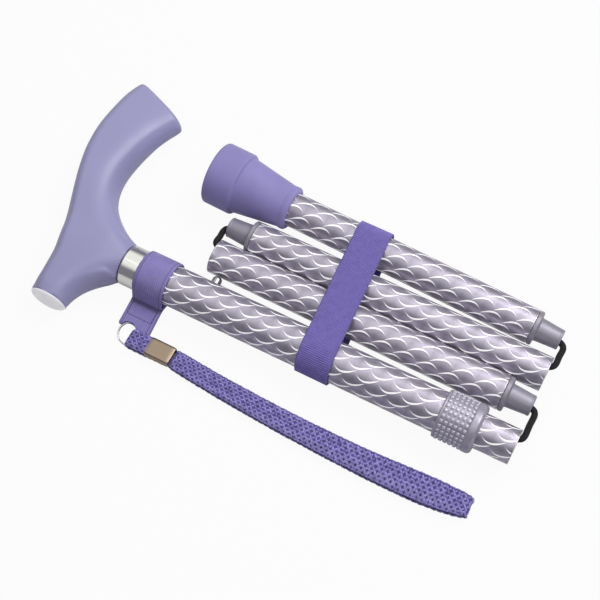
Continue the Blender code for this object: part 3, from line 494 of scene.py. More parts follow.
def smooth_route(points, per_step):
    """Points on a Catmull-Rom curve through the given ones."""
    ends = [points[0], *points, points[-1]]
    found = []
    for before, here, there, after in zip(ends, ends[1:], ends[2:], ends[3:]):
        for step in range(per_step):
            t = step / per_step
            bend = (before * 2 - here * 5 + there * 4 - after) * t**2
            bend += (here * 3 - before - there * 3 + after) * t**3
            found.append((here * 2 + (there - before) * t + bend) / 2)
    return found + [points[-1]]


def eased(value, low, high):
    share = min(1.0, max(0.0, (value - low) / (high - low)))
    return share * share * (3 - 2 * share)


# Node trees
class Signal:
    """A node's output; arithmetic on it makes Math nodes."""

    def __init__(self, graph, socket):
        self.graph = graph
        self.socket = socket

    def math(self, operation, other=0.0):
        return self.graph.math(operation, self, other)

    def __add__(self, other):
        return self.math("ADD", other)

    def __sub__(self, other):
        return self.math("SUBTRACT", other)

    def __rsub__(self, other):
        return self.graph.math("SUBTRACT", other, self)

    def __mul__(self, other):
        return self.math("MULTIPLY", other)

    def __truediv__(self, other):
        return self.math("DIVIDE", other)

    def __abs__(self):
        return self.math("ABSOLUTE")


class Graph:
    """A node tree, and short calls for the nodes in it."""

    def __init__(self, tree):
        self.tree = tree

    def feed(self, socket, value):
        value = getattr(value, "socket", value)
        if isinstance(value, bpy.types.NodeSocket):
            self.tree.links.new(value, socket)
        elif socket.type == "RGBA":
            socket.default_value = (*value, 1.0)
        else:
            socket.default_value = value

    def node(self, kind, inputs, **settings):
        """A new node's outputs."""
        made = self.tree.nodes.new(kind)
        for setting, value in settings.items():
            setattr(made, setting, value)
        for place, value in inputs.items():
            self.feed(made.inputs[place], value)
        return made.outputs

    def signal(self, kind, inputs, output=0, **settings):
        return Signal(self, self.node(kind, inputs, **settings)[output])

    def math(self, operation, first, second):
        return self.signal("ShaderNodeMath", {0: first, 1: second}, operation=operation)

    def mix(self, factor, first, second, blend_type="MIX"):
        colors = {0: factor, 6: first, 7: second}
        return self.signal("ShaderNodeMix", colors, 2, data_type="RGBA", blend_type=blend_type)

    def ease(self, value, low, high, start=0.0, end=1.0):
        inputs = {0: value, 1: low, 2: high, 3: start, 4: end}
        return self.signal("ShaderNodeMapRange", inputs, interpolation_type="SMOOTHSTEP")

    def seen_rays(self, from_camera=1.0, sent_on=1.0):
        """A share for rays from the camera and one for those that metal and glass send on."""
        rays = self.node("ShaderNodeLightPath", {})
        camera, glossy, through = (
            Signal(self, rays[f"Is {kind} Ray"]) for kind in ("Camera", "Glossy", "Transmission")
        )
        sent = (glossy * sent_on).math("MAXIMUM", through * sent_on)
        return (camera * from_camera).math("MAXIMUM", sent)


# Geometry Nodes: one small part on every point
def repeat_tree():
    tree = bpy.data.node_groups.new("repeat_on_points", "GeometryNodeTree")
    for name, kind in (
        ("Geometry", "Geometry"),
        ("Part", "Object"),
        ("Size", "Float"),
        ("Size Variation", "Float"),
        ("Seed", "Int"),
        ("Finish", "Material"),
    ):
        tree.interface.new_socket(name, in_out="INPUT", socket_type="NodeSocket" + kind)
    tree.interface.new_socket("Geometry", in_out="OUTPUT", socket_type="NodeSocketGeometry")
    graph = Graph(tree)
    given = graph.node("NodeGroupInput", {})
    part = graph.node("GeometryNodeObjectInfo", {"Object": given["Part"]})
    turn = graph.node("GeometryNodeInputNamedAttribute", {"Name": "turn"}, data_type="FLOAT_VECTOR")
    least = graph.math("SUBTRACT", given["Size"], given["Size Variation"])
    size = graph.node("FunctionNodeRandomValue", {2: least, 3: given["Size"], "Seed": given["Seed"]})
    inputs = {"Points": given["Geometry"], "Instance": part["Geometry"]}
    inputs.update({"Rotation": turn["Attribute"], "Scale": size[1]})
    placed = graph.node("GeometryNodeInstanceOnPoints", inputs)
    real = graph.node("GeometryNodeRealizeInstances", {"Geometry": placed[0]})
    painted = graph.node("GeometryNodeSetMaterial", {"Geometry": real[0], "Material": given["Finish"]})
    graph.node("NodeGroupOutput", {"Geometry": painted[0]})
    return tree


def repeated(name, part_mesh, places, material, variation, seed, angle=180):
    """Copies of a small mesh at places, which are (position, X direction, Z direction)."""
    tree = bpy.data.node_groups.get("repeat_on_points") or repeat_tree()
    mesh = bpy.data.meshes.new(name)
    mesh.from_pydata([tuple(position) for position, _, _ in places], [], [])
    turns = []
    for _, forward, upward in places:
        x = forward.normalized()
        y = upward.cross(x).normalized()
        turns += Matrix((x, y, x.cross(y))).transposed().to_euler()
    mesh.attributes.new("turn", "FLOAT_VECTOR", "POINT").data.foreach_set("vector", turns)
    part = bpy.data.objects.new(name + "_part", part_mesh)
    made = object_from(name, mesh)
    modifier = made.modifiers.new("repeat", "NODES")
    modifier.node_group = tree
    values = {"Part": part, "Size": 1.0, "Size Variation": variation, "Seed": seed, "Finish": material}
    for socket in tree.interface.items_tree:
        if socket.in_out == "INPUT" and socket.name in values:
            modifier[socket.identifier] = values[socket.name]
    finished(made)
    bpy.data.objects.remove(part)
    return smooth(made, angle)


def yarn_mesh(*size):
    """One float of yarn, its size in mm: a plump oval with few faces, its long way along X."""
    bm = bmesh.new()
    bmesh.ops.create_uvsphere(bm, u_segments=6, v_segments=4, radius=0.5)
    bmesh.ops.rotate(bm, verts=bm.verts, matrix=Matrix.Rotation(math.radians(90), 3, "Y"))
    bmesh.ops.scale(bm, verts=bm.verts, vec=Vector(size) * MM)
    return mesh_of("yarn", bm)


def stud_mesh(side):
    """A small square block with bevelled edges."""
    bm = bmesh.new()
    bmesh.ops.create_cube(bm, size=1.0)
    bmesh.ops.scale(bm, verts=bm.verts, vec=(side, side, 1.1 * MM))
    bmesh.ops.bevel(bm, geom=bm.edges, offset=0.22 * MM, segments=1, affect="EDGES")
    return mesh_of("stud", bm)


# Finishes
LILAC = (0.362, 0.345, 0.595)
PURPLE = (0.185, 0.150, 0.440)
GREY = (0.350, 0.333, 0.395)
CAP_WHITE = (0.93, 0.92, 0.95)
BARE_METAL = (0.48, 0.45, 0.49)
WHITE = (1.0, 1.0, 1.0)
ARC_LOW = 0.38
ARC_LEFT = 0.52
ARC_RIGHT = 0.84
finishes = {}


def scaled(color, factor):
    return tuple(min(1.0, value * factor) for value in color)


def finish(name, make, *values, **named):
    """A finish, made once."""
    if name not in finishes:
        finishes[name] = make(name, *values, **named)
    return finishes[name]


class Finish(Graph):
    """One material: a Principled shader, and the nodes before it."""

    def __init__(self, name, color, roughness, **sockets):
        self.material = bpy.data.materials.new(name)
        self.material.use_nodes = True
        super().__init__(self.material.node_tree)
        self.set(Base_Color=color, Roughness=roughness, **sockets)
        place = self.node("ShaderNodeTexCoord", {})
        self.object = Signal(self, place["Object"])
        self.uv = Signal(self, place["UV"])

    def set(self, **sockets):
        shader = self.tree.nodes["Principled BSDF"]
        for socket, value in sockets.items():
            self.feed(shader.inputs[socket.replace("_", " ")], value)

    def noise(self, scale, detail=2.0, vector=None):
        inputs = {"Vector": vector or self.object, "Scale": scale, "Detail": detail}
        return self.signal("ShaderNodeTexNoise", inputs)

    def uneven(self, scale, detail, start=0.0, end=1.0, low=0.3, high=0.7):
        """Soft patches that run from start to end."""
        return self.ease(self.noise(scale, detail), low, high, start, end)

    def parts(self, vector):
        return [Signal(self, part) for part in self.node("ShaderNodeSeparateXYZ", {0: vector})]

    def wave(self, value, pitch):
        return (value * (2 * math.pi / pitch)).math("SINE")

    def clouded(self, color, scale, low, high):
        """The colour, a little darker or paler in soft patches."""
        cloud = self.mix(self.uneven(scale, 3, low=0.35, high=0.65), low, high)
        return self.mix(1.0, color, cloud, "MULTIPLY")

    def bump(self, height, distance, strength):
        inputs = {"Height": height, "Distance": distance, "Strength": strength}
        self.set(Normal=self.signal("ShaderNodeBump", inputs))
        return self.material


def plastic(name, color, roughness, grain=0.02 * MM, scale=900, **sockets):
    """Moulded plastic: a fine grain, a slight unevenness in its gloss, and hardly any in its colour."""
    made = Finish(name, color, roughness, **sockets)
    tone = made.mix(made.uneven(28, 3), scaled(color, 0.965), scaled(color, 1.03))
    made.set(Base_Color=tone, Roughness=made.uneven(120, 4, roughness - 0.03, roughness + 0.04))
    return made.bump(made.noise(scale, 3), grain, 0.5)


def moulded(name, color, roughness):
    """Grey plastic with a metallic dye."""
    return finish(name, plastic, color, roughness, 0.01 * MM, 1400, Metallic=0.35)


def plated(name, color, roughness, brushing=0.4):
    """Plated or bare metal: faint brushing along X and small dull spots."""
    made = Finish(name, color, roughness, Metallic=1.0)
    stretch = {"Vector": made.object, "Scale": (60, 2500, 2500)}
    brushed = made.noise(1.0, 3, made.signal("ShaderNodeMapping", stretch))
    made.set(Roughness=made.uneven(220, 4, roughness, roughness + 0.12, 0.35, 0.75))
    return made.bump(brushed, 0.004 * MM, brushing)


def steel():
    return finish("bright_steel", plated, (0.62, 0.62, 0.63), 0.22)


def cloth(name, color, roughness, sheen, sheen_roughness, gloss):
    sockets = {"Sheen_Weight": sheen, "Sheen_Roughness": sheen_roughness, "Specular_IOR_Level": gloss}
    return Finish(name, color, roughness, **sockets)


def elastic_tape(name, color):
    """Woven tape: ribs along its length, threads over them, and painted shade between both."""
    made = cloth(name, color, 0.85, 0.35, 0.4, 0.25)
    run, across, _ = made.parts(made.uv)
    woven = made.wave(across, 1.2 * MM) * 0.6 + made.wave(run, 0.5 * MM) * 0.4
    height = woven + made.noise(1600, 3) * 0.7
    # Painted shade: the weave's hollows darken to half the colour
    shade = made.mix(made.ease(height, -0.6, 1.1), scaled(color, 0.5), color)
    made.set(Base_Color=made.clouded(shade, 90, (0.93, 0.93, 0.95), WHITE))
    return made.bump(height, 0.07 * MM, 0.7)


def ribbed_webbing(name, color, middle, width, crease):
    """Webbing: warp ribs along the belt with painted light and shade, fine weft, a line inside each selvedge, and a
    painted shadow along the tail's crease.
    """
    made = cloth(name, color, 0.85, 0.3, 0.4, 0.25)
    x, _, z = made.parts(made.object)
    across = x - middle
    weft = made.wave(made.parts(made.uv)[0], 0.62 * MM)
    height = made.wave(across, 1.15 * MM) * 0.85 + weft * 0.12 + made.noise(1500, 3) * 0.5
    # Painted light and shade: rib tops paler, hollows between the ribs darker
    shade = made.mix(made.ease(height, -0.7, 1.0), scaled(color, 0.82), scaled(color, 1.07))
    selvedge = abs(abs(across) - (width / 2 - 1.7 * MM))
    line = made.ease(selvedge, 0.12 * MM, 0.5 * MM, 1.0, 0.0)
    lined = made.mix(line * 0.55, shade, scaled(color, 0.4))
    # Painted shadow: a dark line at the crease's height, where the belt's edge lies over the tail
    fold = made.ease(abs(z - crease), 0.1 * MM, 0.8 * MM, 0.75, 0.0)
    folded = made.mix(fold, lined, scaled(color, 0.28))
    made.set(Base_Color=made.clouded(folded, 110, (0.90, 0.90, 0.93), (1.04, 1.04, 1.04)))
    return made.bump(height, 0.08 * MM, 0.6)


def yarn(name, color, dark, fibre=2600, dull=0.72):
    """Yarn: fine fibres, with painted shade of the dark colour in its hollows."""
    made = cloth(name, color, 0.8, 0.4, 0.35, 0.3)
    fibres = made.noise(fibre, 3)
    # Painted shade: the fibre noise's hollows take the dark colour
    shade = made.mix(made.ease(fibres, 0.3, 0.65), dark, color)
    tone = made.mix(made.uneven(330, 2), (dull, dull, dull + 0.03), (1.12, 1.12, 1.1))
    made.set(Base_Color=made.mix(1.0, shade, tone, "MULTIPLY"))
    return made.bump(fibres, 0.06 * MM, 0.8)


def printed_tube(name, settings):
    """Lacquered tube, printed with staggered rows of pale arcs; each scale darkens toward its own arc, a painted shade
    of the raised scale.
    """
    color = tuple(settings.color)
    made = Finish(name, color, 0.36, Coat_Weight=0.12, Coat_Roughness=0.3)
    place = made.parts(made.uv)
    u = place[0] / settings.arc_length
    v = place[1] / settings.row_height
    wobble = made.noise(130, 2) - 0.5

    def scale_row(offset):
        """How far this place lies past one row's arc, in rows, and how far along the arc it is."""
        row = v.math("FLOOR") + offset
        x = (u + row.math("PINGPONG", 1.0) * 0.5 + 100.0).math("FRACT")
        left = ((ARC_LOW - x) / ARC_LOW).math("MAXIMUM")
        right = ((x - ARC_LOW) / (1 - ARC_LOW)).math("MAXIMUM")
        rise = left.math("POWER", 2.2) * ARC_LEFT + right.math("POWER", 1.75) * ARC_RIGHT
        return v - (row + 1.0 - rise) + wobble * 0.05, x

    def drawn(distance, x):
        """A row's line: thin at its left end, widest right of its middle, fading at both ends."""
        swell = (x.math("POWER", 1.25) * math.pi).math("SINE")
        half = (swell * 0.85 + 0.15) * (settings.line_width / 2)
        reach = abs(distance) * (settings.row_height * 0.86)
        line = made.ease(reach - half, -0.04 * MM, 0.05 * MM, 1.0, 0.0)
        return line * (made.ease(x, 0.0, 0.2, 0.1, 1.0) * made.ease(x, 0.92, 1.0, 1.0, 0.5))

    here, along_here = scale_row(0.0)
    last, along_last = scale_row(-1.0)
    past = here.math("GREATER_THAN", 0.0)
    depth = made.ease(here * past + last * (1.0 - past), 0.0, 1.15)
    line = drawn(here, along_here).math("MAXIMUM", drawn(last, along_last))
    # Painted shade: each scale's colour runs from paler to darker across it, as light would fall on a raised scale
    scale_shade = made.mix(depth, scaled(color, 1.18), scaled(color, 0.8))
    patches = made.mix(made.uneven(60, 1), scaled(color, 0.8), scaled(color, 1.15))
    printed = made.mix(line, made.mix(0.3, scale_shade, patches), tuple(settings.line_color))
    bare = made.signal("ShaderNodeAttribute", {}, "Fac", attribute_name="bare")
    made.set(
        Base_Color=made.mix(bare, printed, BARE_METAL),
        Roughness=made.ease(line, 0.0, 1.0, 0.4, 0.35) + bare * 0.02,
        Metallic=made.ease(line, 0.0, 1.0, settings.metal, 0.0).math("MAXIMUM", bare * 0.95),
        # Painted light: the arcs glow a little by emission, so they stay bright however the lamps fall
        Emission_Strength=line * settings.line_glow,
    )
    return made.bump(line + depth * -0.6, 0.06 * MM, 0.4)


def rubber(name, color):
    """Rubber: dusty, paler along its sharp outer edges, with a fine grain."""
    made = Finish(name, color, 0.62, Sheen_Weight=0.25, Sheen_Roughness=0.5)
    cloud = made.uneven(45, 4, low=0.35)
    dust = made.mix(cloud, scaled(color, 0.93), scaled(color, 1.05))
    edges = made.signal("ShaderNodeNewGeometry", {}, "Pointiness")
    # Outer edges, found by pointiness, are made paler
    paler_edges = made.mix(made.ease(edges, 0.505, 0.56, 0.0, 0.5), dust, scaled(color, 1.35))
    made.set(Base_Color=paler_edges, Roughness=made.uneven(160, 3, 0.56, 0.7))
    return made.bump(made.noise(1300, 3), 0.03 * MM, 0.6)


# Settings
def length_setting(name, description, default):
    """A length, its default in mm."""
    return FloatProperty(name=name, description=description, default=default * MM, min=0.0, unit="LENGTH")


def power_setting(name, description, default):
    return FloatProperty(name=name, description=description, default=default, min=0.0, unit="POWER")


def share_setting(name, description, default):
    return FloatProperty(name=name, description=description, default=default, min=0.0, max=1.0)


def color_setting(name, description, default):
    return FloatVectorProperty(
        name=name, description=description, default=default, size=3, min=0.0, max=1.0, subtype="COLOR"
    )


class TubeSettings(bpy.types.PropertyGroup):
    color: color_setting("Colour", "Lacquer under the print", (0.425, 0.393, 0.472))
    line_color: color_setting("Arc colour", "Printed arcs", (1.0, 0.985, 1.0))
    # Painted light: how strongly the printed arcs glow by emission
    line_glow: share_setting("Line glint", "How brightly the arcs' foil throws the light back", 0.32)
    arc_length: length_setting("Arc length", "One arc along the tube", 12.6)
    row_height: length_setting("Row height", "From one row of arcs to the next, round the tube", 4.65)
    line_width: length_setting("Line width", "An arc's widest place", 0.85)
    metal: share_setting("Metal", "How metallic the lacquer looks", 0.72)


class HandleSettings(bpy.types.PropertyGroup):
    color: color_setting("Colour", "Satin handle", LILAC)
    cap_color: color_setting("Cap colour", "Cap in the nose", CAP_WHITE)
    grain: length_setting("Mesh size", "Size of the faces that the handle is made of", 0.85)
    smoothing: IntProperty(name="Smoothing", description="Rounds of smoothing", default=14, min=0)
    edges: FloatVectorProperty(
        name="Rounding",
        description="Width of the rounded edges in mm: palm side, finger side, under the nose",
        default=(7.0, 15.0, 9.5),
        size=3,
        min=1.0,
    )


class RingSettings(bpy.types.PropertyGroup):
    color: color_setting("Colour", "Locking ring", scaled(GREY, 1.2))
    columns: IntProperty(name="Columns", description="Rows of studs along the ring", default=6, min=1)
    around: IntProperty(name="Around", description="Studs in one row", default=28, min=3)
    stud: length_setting("Stud", "Side of one square stud", 1.8)


class FerruleSettings(bpy.types.PropertyGroup):
    color: color_setting("Colour", "Rubber ferrule", (0.312, 0.276, 0.610))
    rim_radius: length_setting("Rim radius", "Widest part", 17.8)


class BandSettings(bpy.types.PropertyGroup):
    color: color_setting("Colour", "Elastic band", PURPLE)
    width: length_setting("Width", "Along the tubes", 19.0)
    rib: length_setting("Rib spacing", "From one rib to the next", 1.05)


class StrapSettings(bpy.types.PropertyGroup):
    color: color_setting("Colour", "Yarn", (0.395, 0.345, 0.790))
    # Dark colour of the braid's core: painted shade between the yarns
    dark: color_setting("Dark colour", "Between the yarns", (0.070, 0.054, 0.225))
    width: length_setting("Width", "Flat braid's width", 10.5)
    thickness: length_setting("Thickness", "Flat braid's thickness", 2.4)
    pitch: length_setting("Yarn spacing", "Along the braid", 1.62)
    columns: IntProperty(name="Columns", description="Yarns round the braid", default=14, min=4)


class WebbingSettings(bpy.types.PropertyGroup):
    color: color_setting("Colour", "Webbing", (0.315, 0.275, 0.600))
    width: length_setting("Width", "Along the tube", 18.4)
    thickness: length_setting("Thickness", "One layer", 1.2)


class StageSettings(bpy.types.PropertyGroup):
    key_power: power_setting("Key light", "Power of the main lamp", 7.6)
    fill_power: power_setting("Fill light", "Power of the second lamp", 2.0)
    ambient: share_setting("Ambient", "Strength of the light all round", 0.62)


class CaneOperator:
    bl_options = {"REGISTER", "UNDO"}


# Handle and collar
# Outline by pairs of points across the grip, in mm from the collar: palm side, finger side, half thickness
GRIP = (
    (-53.0, 102.6, -17.2, 88.0, 9.0),
    (-56.0, 93.0, -22.6, 77.5, 10.2),
    (-57.6, 81.5, -25.7, 67.5, 11.4),
    (-58.6, 66.7, -27.7, 56.5, 12.4),
    (-57.2, 51.5, -28.4, 46.0, 13.0),
    (-53.9, 38.2, -26.6, 35.6, 13.3),
    (-50.2, 27.0, -22.0, 26.8, 13.4),
    (-46.8, 17.6, -13.6, 18.6, 13.4),
    (-44.2, 10.2, -4.6, 12.9, 13.1),
)
PALM_NECK = [(-42.4, 4.4), (-38.4, -12.0)]
NOSE = (
    (-37.8, -17.0, -5.6, -15.6, 12.4),
    (-37.3, -24.0, -11.6, -22.4, 11.4),
    (-37.1, -30.6, -15.2, -30.2, 10.3),
    (-37.1, -36.8, -16.2, -36.8, 9.2),
)
NECK_THICK = (Vector((-20.0, 0.0)), 12.9)
BORES = (("handle_spigot", 10.6), ("handle_screw", 4.0))
# How far a row's thickness tells, in squared mm
THICKNESS_SPREAD = 160
# The powers of the solid's own section, across and up
SOLID_ACROSS, SOLID_UP = 2.5, 2.1
# The new section's power along the grip, and how much less it is at the collar
GRIP_POWER, COLLAR_LESS = 2.3, 0.3
# The least and the most that the solid's own section is scaled by near its edges
LEAST_SCALE, MOST_SCALE = 0.8, 1.9


def side_line(points, inward):
    """One side of the handle's outline, with the way into the handle from each of its points."""
    route = smooth_route([Vector(point) for point in points], 16)
    start = route[0] + (route[0] - route[1]).normalized() * 8
    end = route[-1] + (route[-1] - route[-2]).normalized() * 8
    line = evenly([start, *route, end], 300)
    tree = KDTree(len(line))
    normals = []
    for index, point in enumerate(line):
        tree.insert((*point, 0), index)
        run = line[min(index + 1, len(line) - 1)] - line[max(index - 1, 0)]
        normals.append(Vector((-run.y, run.x)).normalized() * inward)
    tree.balance()
    return tree, normals


def into(side, place):
    """How far a place lies inside one side of the outline."""
    tree, normals = side
    nearest, index, _ = tree.find((*place, 0))
    return max(0.0, (place - nearest.xy).dot(normals[index]))


def into_tip(place):
    """How far a place lies in from the handle's tip."""
    palm, finger = Vector(GRIP[0][:2]), Vector(GRIP[0][2:4])
    outward = (finger - palm).orthogonal().normalized()
    return (palm + outward * 1.6 - place).dot(outward)


def flatten_handle(handle, edges):
    """Give the handle a flat back and rounded edges: tight at the palm, broad along the fingers."""
    sides = (
        side_line([row[:2] for row in GRIP] + PALM_NECK + [row[:2] for row in NOSE], 1),
        side_line([row[2:4] for row in GRIP] + [(0.0, COLLAR_RADIUS)], -1),
        side_line([(0.0, -COLLAR_RADIUS)] + [row[2:4] for row in NOSE], -1),
    )
    thick = [((Vector(row[:2]) + Vector(row[2:4])) / 2, row[4]) for row in (*GRIP, *NOSE)]
    thick.append(NECK_THICK)
    bores = [(shaft_x(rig.box(node)[0].x) - 1.5, reach) for node, reach in BORES]
    palm, *broad = edges
    for vertex in handle.data.vertices:
        x, y, z = (vertex.co - SHAFT_START) / MM
        place = Vector((x, y))
        if any(x > end and math.hypot(y, z) < reach for end, reach in bores):
            continue
        weights = [math.exp(-((place - spot).length_squared) / THICKNESS_SPREAD) for spot, _ in thick]
        high = sum(weight * value for weight, (_, value) in zip(weights, thick)) / sum(weights)
        high += (COLLAR_RADIUS - high) * eased(x, -15, -1)
        near = eased(x, -26, -6)
        power = GRIP_POWER - COLLAR_LESS * near
        inside = [into(side, place) for side in sides]
        widths = [palm, *(width + (COLLAR_RADIUS - width) * near for width in broad)]
        out = sum(max(0.0, 1 - depth / width) ** power for depth, width in zip(inside, widths))
        share = (1 - min(1.0, out)) ** (1 / power)
        other = min(inside[1:])
        across = abs(inside[0] - other) / max(0.01, inside[0] + other)
        before = (1 - min(0.999, across) ** SOLID_ACROSS) ** (1 / SOLID_UP)
        scale = min(MOST_SCALE, max(LEAST_SCALE, share / before))
        ratio = 1 + (scale - 1) * (1 - near)
        # Well inside the outline the new section's height holds, and near an edge the scaled one
        direct = eased(min(inside), 2.0, 5.0) * eased(into_tip(place), 0.4, 2.5)
        wanted = z * ratio + (math.copysign(high * share, z) - z * ratio) * direct
        # The collar's seat and the end of the nose stay as they are
        effect = eased(-x, 0.8, 5.0) * eased(y - NOSE[-1][1], 0.6, 7.0)
        vertex.co.z += (wanted - z) * effect * MM


class CANE_OT_handle(CaneOperator, bpy.types.Operator):
    """Make the handle, the cap in its nose and the collar"""

    bl_idname = "cane.handle"
    bl_label = "Handle"

    def execute(self, context):
        settings = context.scene.cane_handle
        coat = {"Coat_Weight": 0.4, "Coat_Roughness": 0.32}
        satin = finish("satin_handle", plastic, tuple(settings.color), 0.45, 0.008 * MM, 1100, **coat)
        handle = object_from("handle", mesh_of("handle", merged("handle_body")))
        modified(handle, "REMESH", mode="VOXEL", voxel_size=settings.grain)
        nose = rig.box("handle_body")[0].y + 0.6 * MM
        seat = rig.box("handle_body")[1].x - 1.0 * MM
        free = handle.vertex_groups.new(name="free")
        for vertex in handle.data.vertices:
            free.add([vertex.index], float(vertex.co.y > nose and vertex.co.x < seat), "REPLACE")
        even = {"factor": 0.5, "iterations": settings.smoothing, "vertex_group": "free"}
        modified(handle, "SMOOTH", **even)
        flatten_handle(handle, settings.edges)
        modified(handle, "SMOOTH", **even)
        handle.vertex_groups.clear()
        paint(handle, satin)
        dress(smooth(handle, 50), "upper_section", "handle_satin", "handle_body")

        # Painted light: the nose cap glows a little by emission, which lifts its white
        pale = finish("cap_plastic", plastic, tuple(settings.cap_color), 0.35, Emission_Strength=0.22)
        cap = rounded_copy("handle_end_cap", "nose_cap", pale)
        dress(cap, "upper_section", "cap_plastic", "handle_end_cap")

        start, end = (shaft_x(corner.x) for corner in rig.box("handle_collar"))
        radius = radius_of("handle_collar")
        bore = UPPER_RADIUS - WALL
        over = end + COLLAR_OVER
        outer = [(start, radius - 0.3), (start + 0.5, radius), (over - 0.1, radius), (over, radius - 0.1)]
        outer += [(over, UPPER_RADIUS + 0.02), (end, UPPER_RADIUS + 0.02)]
        chrome = finish("chrome", plated, (0.82, 0.82, 0.77), 0.08, 0.05)
        collar = lathe("collar", sleeve(outer, [(start, bore), (end, bore)]), SHAFT, chrome)
        dress(collar, "upper_section", "chrome", "handle_collar")
        for node in ("handle_spigot", "handle_screw", "ferrule_washer"):
            paint(NODES[node], steel())
        return {"FINISHED"}


# Tubes
class CANE_OT_tubes(CaneOperator, bpy.types.Operator):
    """Make the printed tubes, with the holes that the snap button locks in"""

    bl_idname = "cane.tubes"
    bl_label = "Tubes"

    def execute(self, context):
        lacquer = finish("printed_tube", printed_tube, context.scene.cane_tubes)
        first_hole = Vector((middle_of("snap_button").x, SHAFT_START.y + 12 * MM, SHAFT_START.z))
        for node, name, turned, radius, body in (
            ("upper_tube", "upper_tube_skin", SHAFT, UPPER_RADIUS, "upper_section"),
            ("inner_tube", "inner_tube_skin", SHAFT, TUBE_RADIUS, "inner_section"),
            ("section_2_tube", "section_2_skin", SECTION_2, TUBE_RADIUS, "section_2"),
            ("section_3_tube", "section_3_skin", SECTION_3, TUBE_RADIUS, "section_3"),
            ("foot_tube", "foot_skin", FOOT, TUBE_RADIUS, "foot_section"),
        ):
            start, end = reach_of(node, turned)
            outer = [(start, radius)]
            for edge in (start + RIM, end - RIM):
                outer += [(edge - 0.08, radius), (edge, radius - GROOVE_DEPTH), (edge + 0.08, radius)]
            outer.append((end, radius))
            bore = [(start, radius - WALL), (end, radius - WALL)]
            tube = lathe(name, sleeve(outer, bore), turned, lacquer, 80, 0.12)
            bare = tube.data.attributes.new("bare", "FLOAT", "POINT")
            inward = turned.inverted()
            for vertex, value in zip(tube.data.vertices, bare.data):
                place = inward @ vertex.co / MM
                within = math.hypot(place.y, place.z) < radius - GROOVE_DEPTH - 0.01
                value.value = float(within or not start + RIM + 0.02 < place.x < end - RIM - 0.02)
            holes = HOLES.get(node, 0)
            for index in range(holes):
                place = first_hole + ALONG * (index * HOLE_PITCH * MM)
                cut_rod(tube, place, (HOLE_RADIUS, HOLE_RADIUS, 8.0), 40, math.radians(90))
            dress(smooth(tube) if holes else tube, body, "tube_metal", node)
        return {"FINISHED"}


# Plugs, sockets and the snap button
class CANE_OT_plugs(CaneOperator, bpy.types.Operator):
    """Make the plugs and the snap button, and finish the sockets and the pieces inside the tubes"""

    bl_idname = "cane.plugs"
    bl_label = "Plugs and button"

    def execute(self, context):
        pale = moulded("plug_plastic", scaled(GREY, 0.95), 0.45)
        for node, turned, body in (
            ("section_2_plug", SECTION_2, "section_2"),
            ("section_3_plug", SECTION_3, "section_3"),
            ("foot_plug", FOOT, "foot_section"),
        ):
            tip = reach_of(node, turned)[0]
            plug = lathe(node + "_skin", self.plug_profile(tip), turned, pale, 64)
            dress(plug, body, "grey_plastic", node)
        grey = moulded("grey_plastic", GREY, 0.36)
        for node in (
            "upper_socket",
            "section_2_socket",
            "section_3_socket",
            "upper_cord_anchor",
            "foot_cord_anchor",
            "inner_tube_bush",
            "collet",
        ):
            paint(NODES[node], grey)
        self.make_button()

        low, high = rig.box("button_spring")
        spring = object_from("leaf_spring", mesh_of("leaf_spring", merged("button_spring")), steel())
        dress(smooth(spring), "inner_section", "steel", "button_spring")
        middle = middle_of("button_spring")
        held = Vector((middle.x, low.y, middle.z))
        keep = 1 - BUTTON_TRAVEL * MM / (high.y - low.y)
        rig.squash(spring, "button_press", axis=(0, 1, 0), anchor=held, keep=keep)
        return {"FINISHED"}

    def plug_profile(self, tip):
        shoulder = tip + PLUG_TIP
        flange = shoulder + PLUG_FLANGE
        end = flange + PLUG_INSERT
        seat = TUBE_RADIUS - WALL - 0.15
        outer = [(tip, 5.15), (tip + 0.5, 5.65), (tip + 1.1, 5.65), (tip + 1.3, 5.55)]
        outer += [(shoulder - 0.5, 6.4), (shoulder, 6.8), (shoulder, TUBE_RADIUS - 0.7)]
        outer += [(shoulder + 0.5, TUBE_RADIUS - 0.05), (flange - 0.15, TUBE_RADIUS - 0.05)]
        outer += [(flange - 0.1, TUBE_RADIUS - 0.3), (flange, TUBE_RADIUS - 0.3)]
        outer += [(flange, seat), (end, seat)]
        return sleeve(outer, [(tip, PLUG_BORE), (end, PLUG_BORE)])

    def make_button(self):
        low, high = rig.box("snap_button")
        sideways = Matrix.Translation(middle_of("snap_button")) @ Matrix.Rotation(math.radians(90), 4, "Z")
        half = (high.y - low.y) / 2 / MM
        flange = (high.x - low.x) / 2 / MM
        profile = [(half, 0.0)]
        for step in range(1, 9):
            angle = math.radians(90) * step / 8
            profile.append((half - BUTTON_DOME * (1 - math.cos(angle)), BUTTON_SHANK * math.sin(angle)))
        profile += [(1.0 - half, BUTTON_SHANK), (1.0 - half, flange), (-half, flange), (-half, 0.0)]
        dull = finish("button_metal", plated, (0.42, 0.42, 0.43), 0.16)
        button = lathe("snap_button_skin", profile, sideways, dull, 40, 0.12)
        dress(button, "button", "chrome", "snap_button")


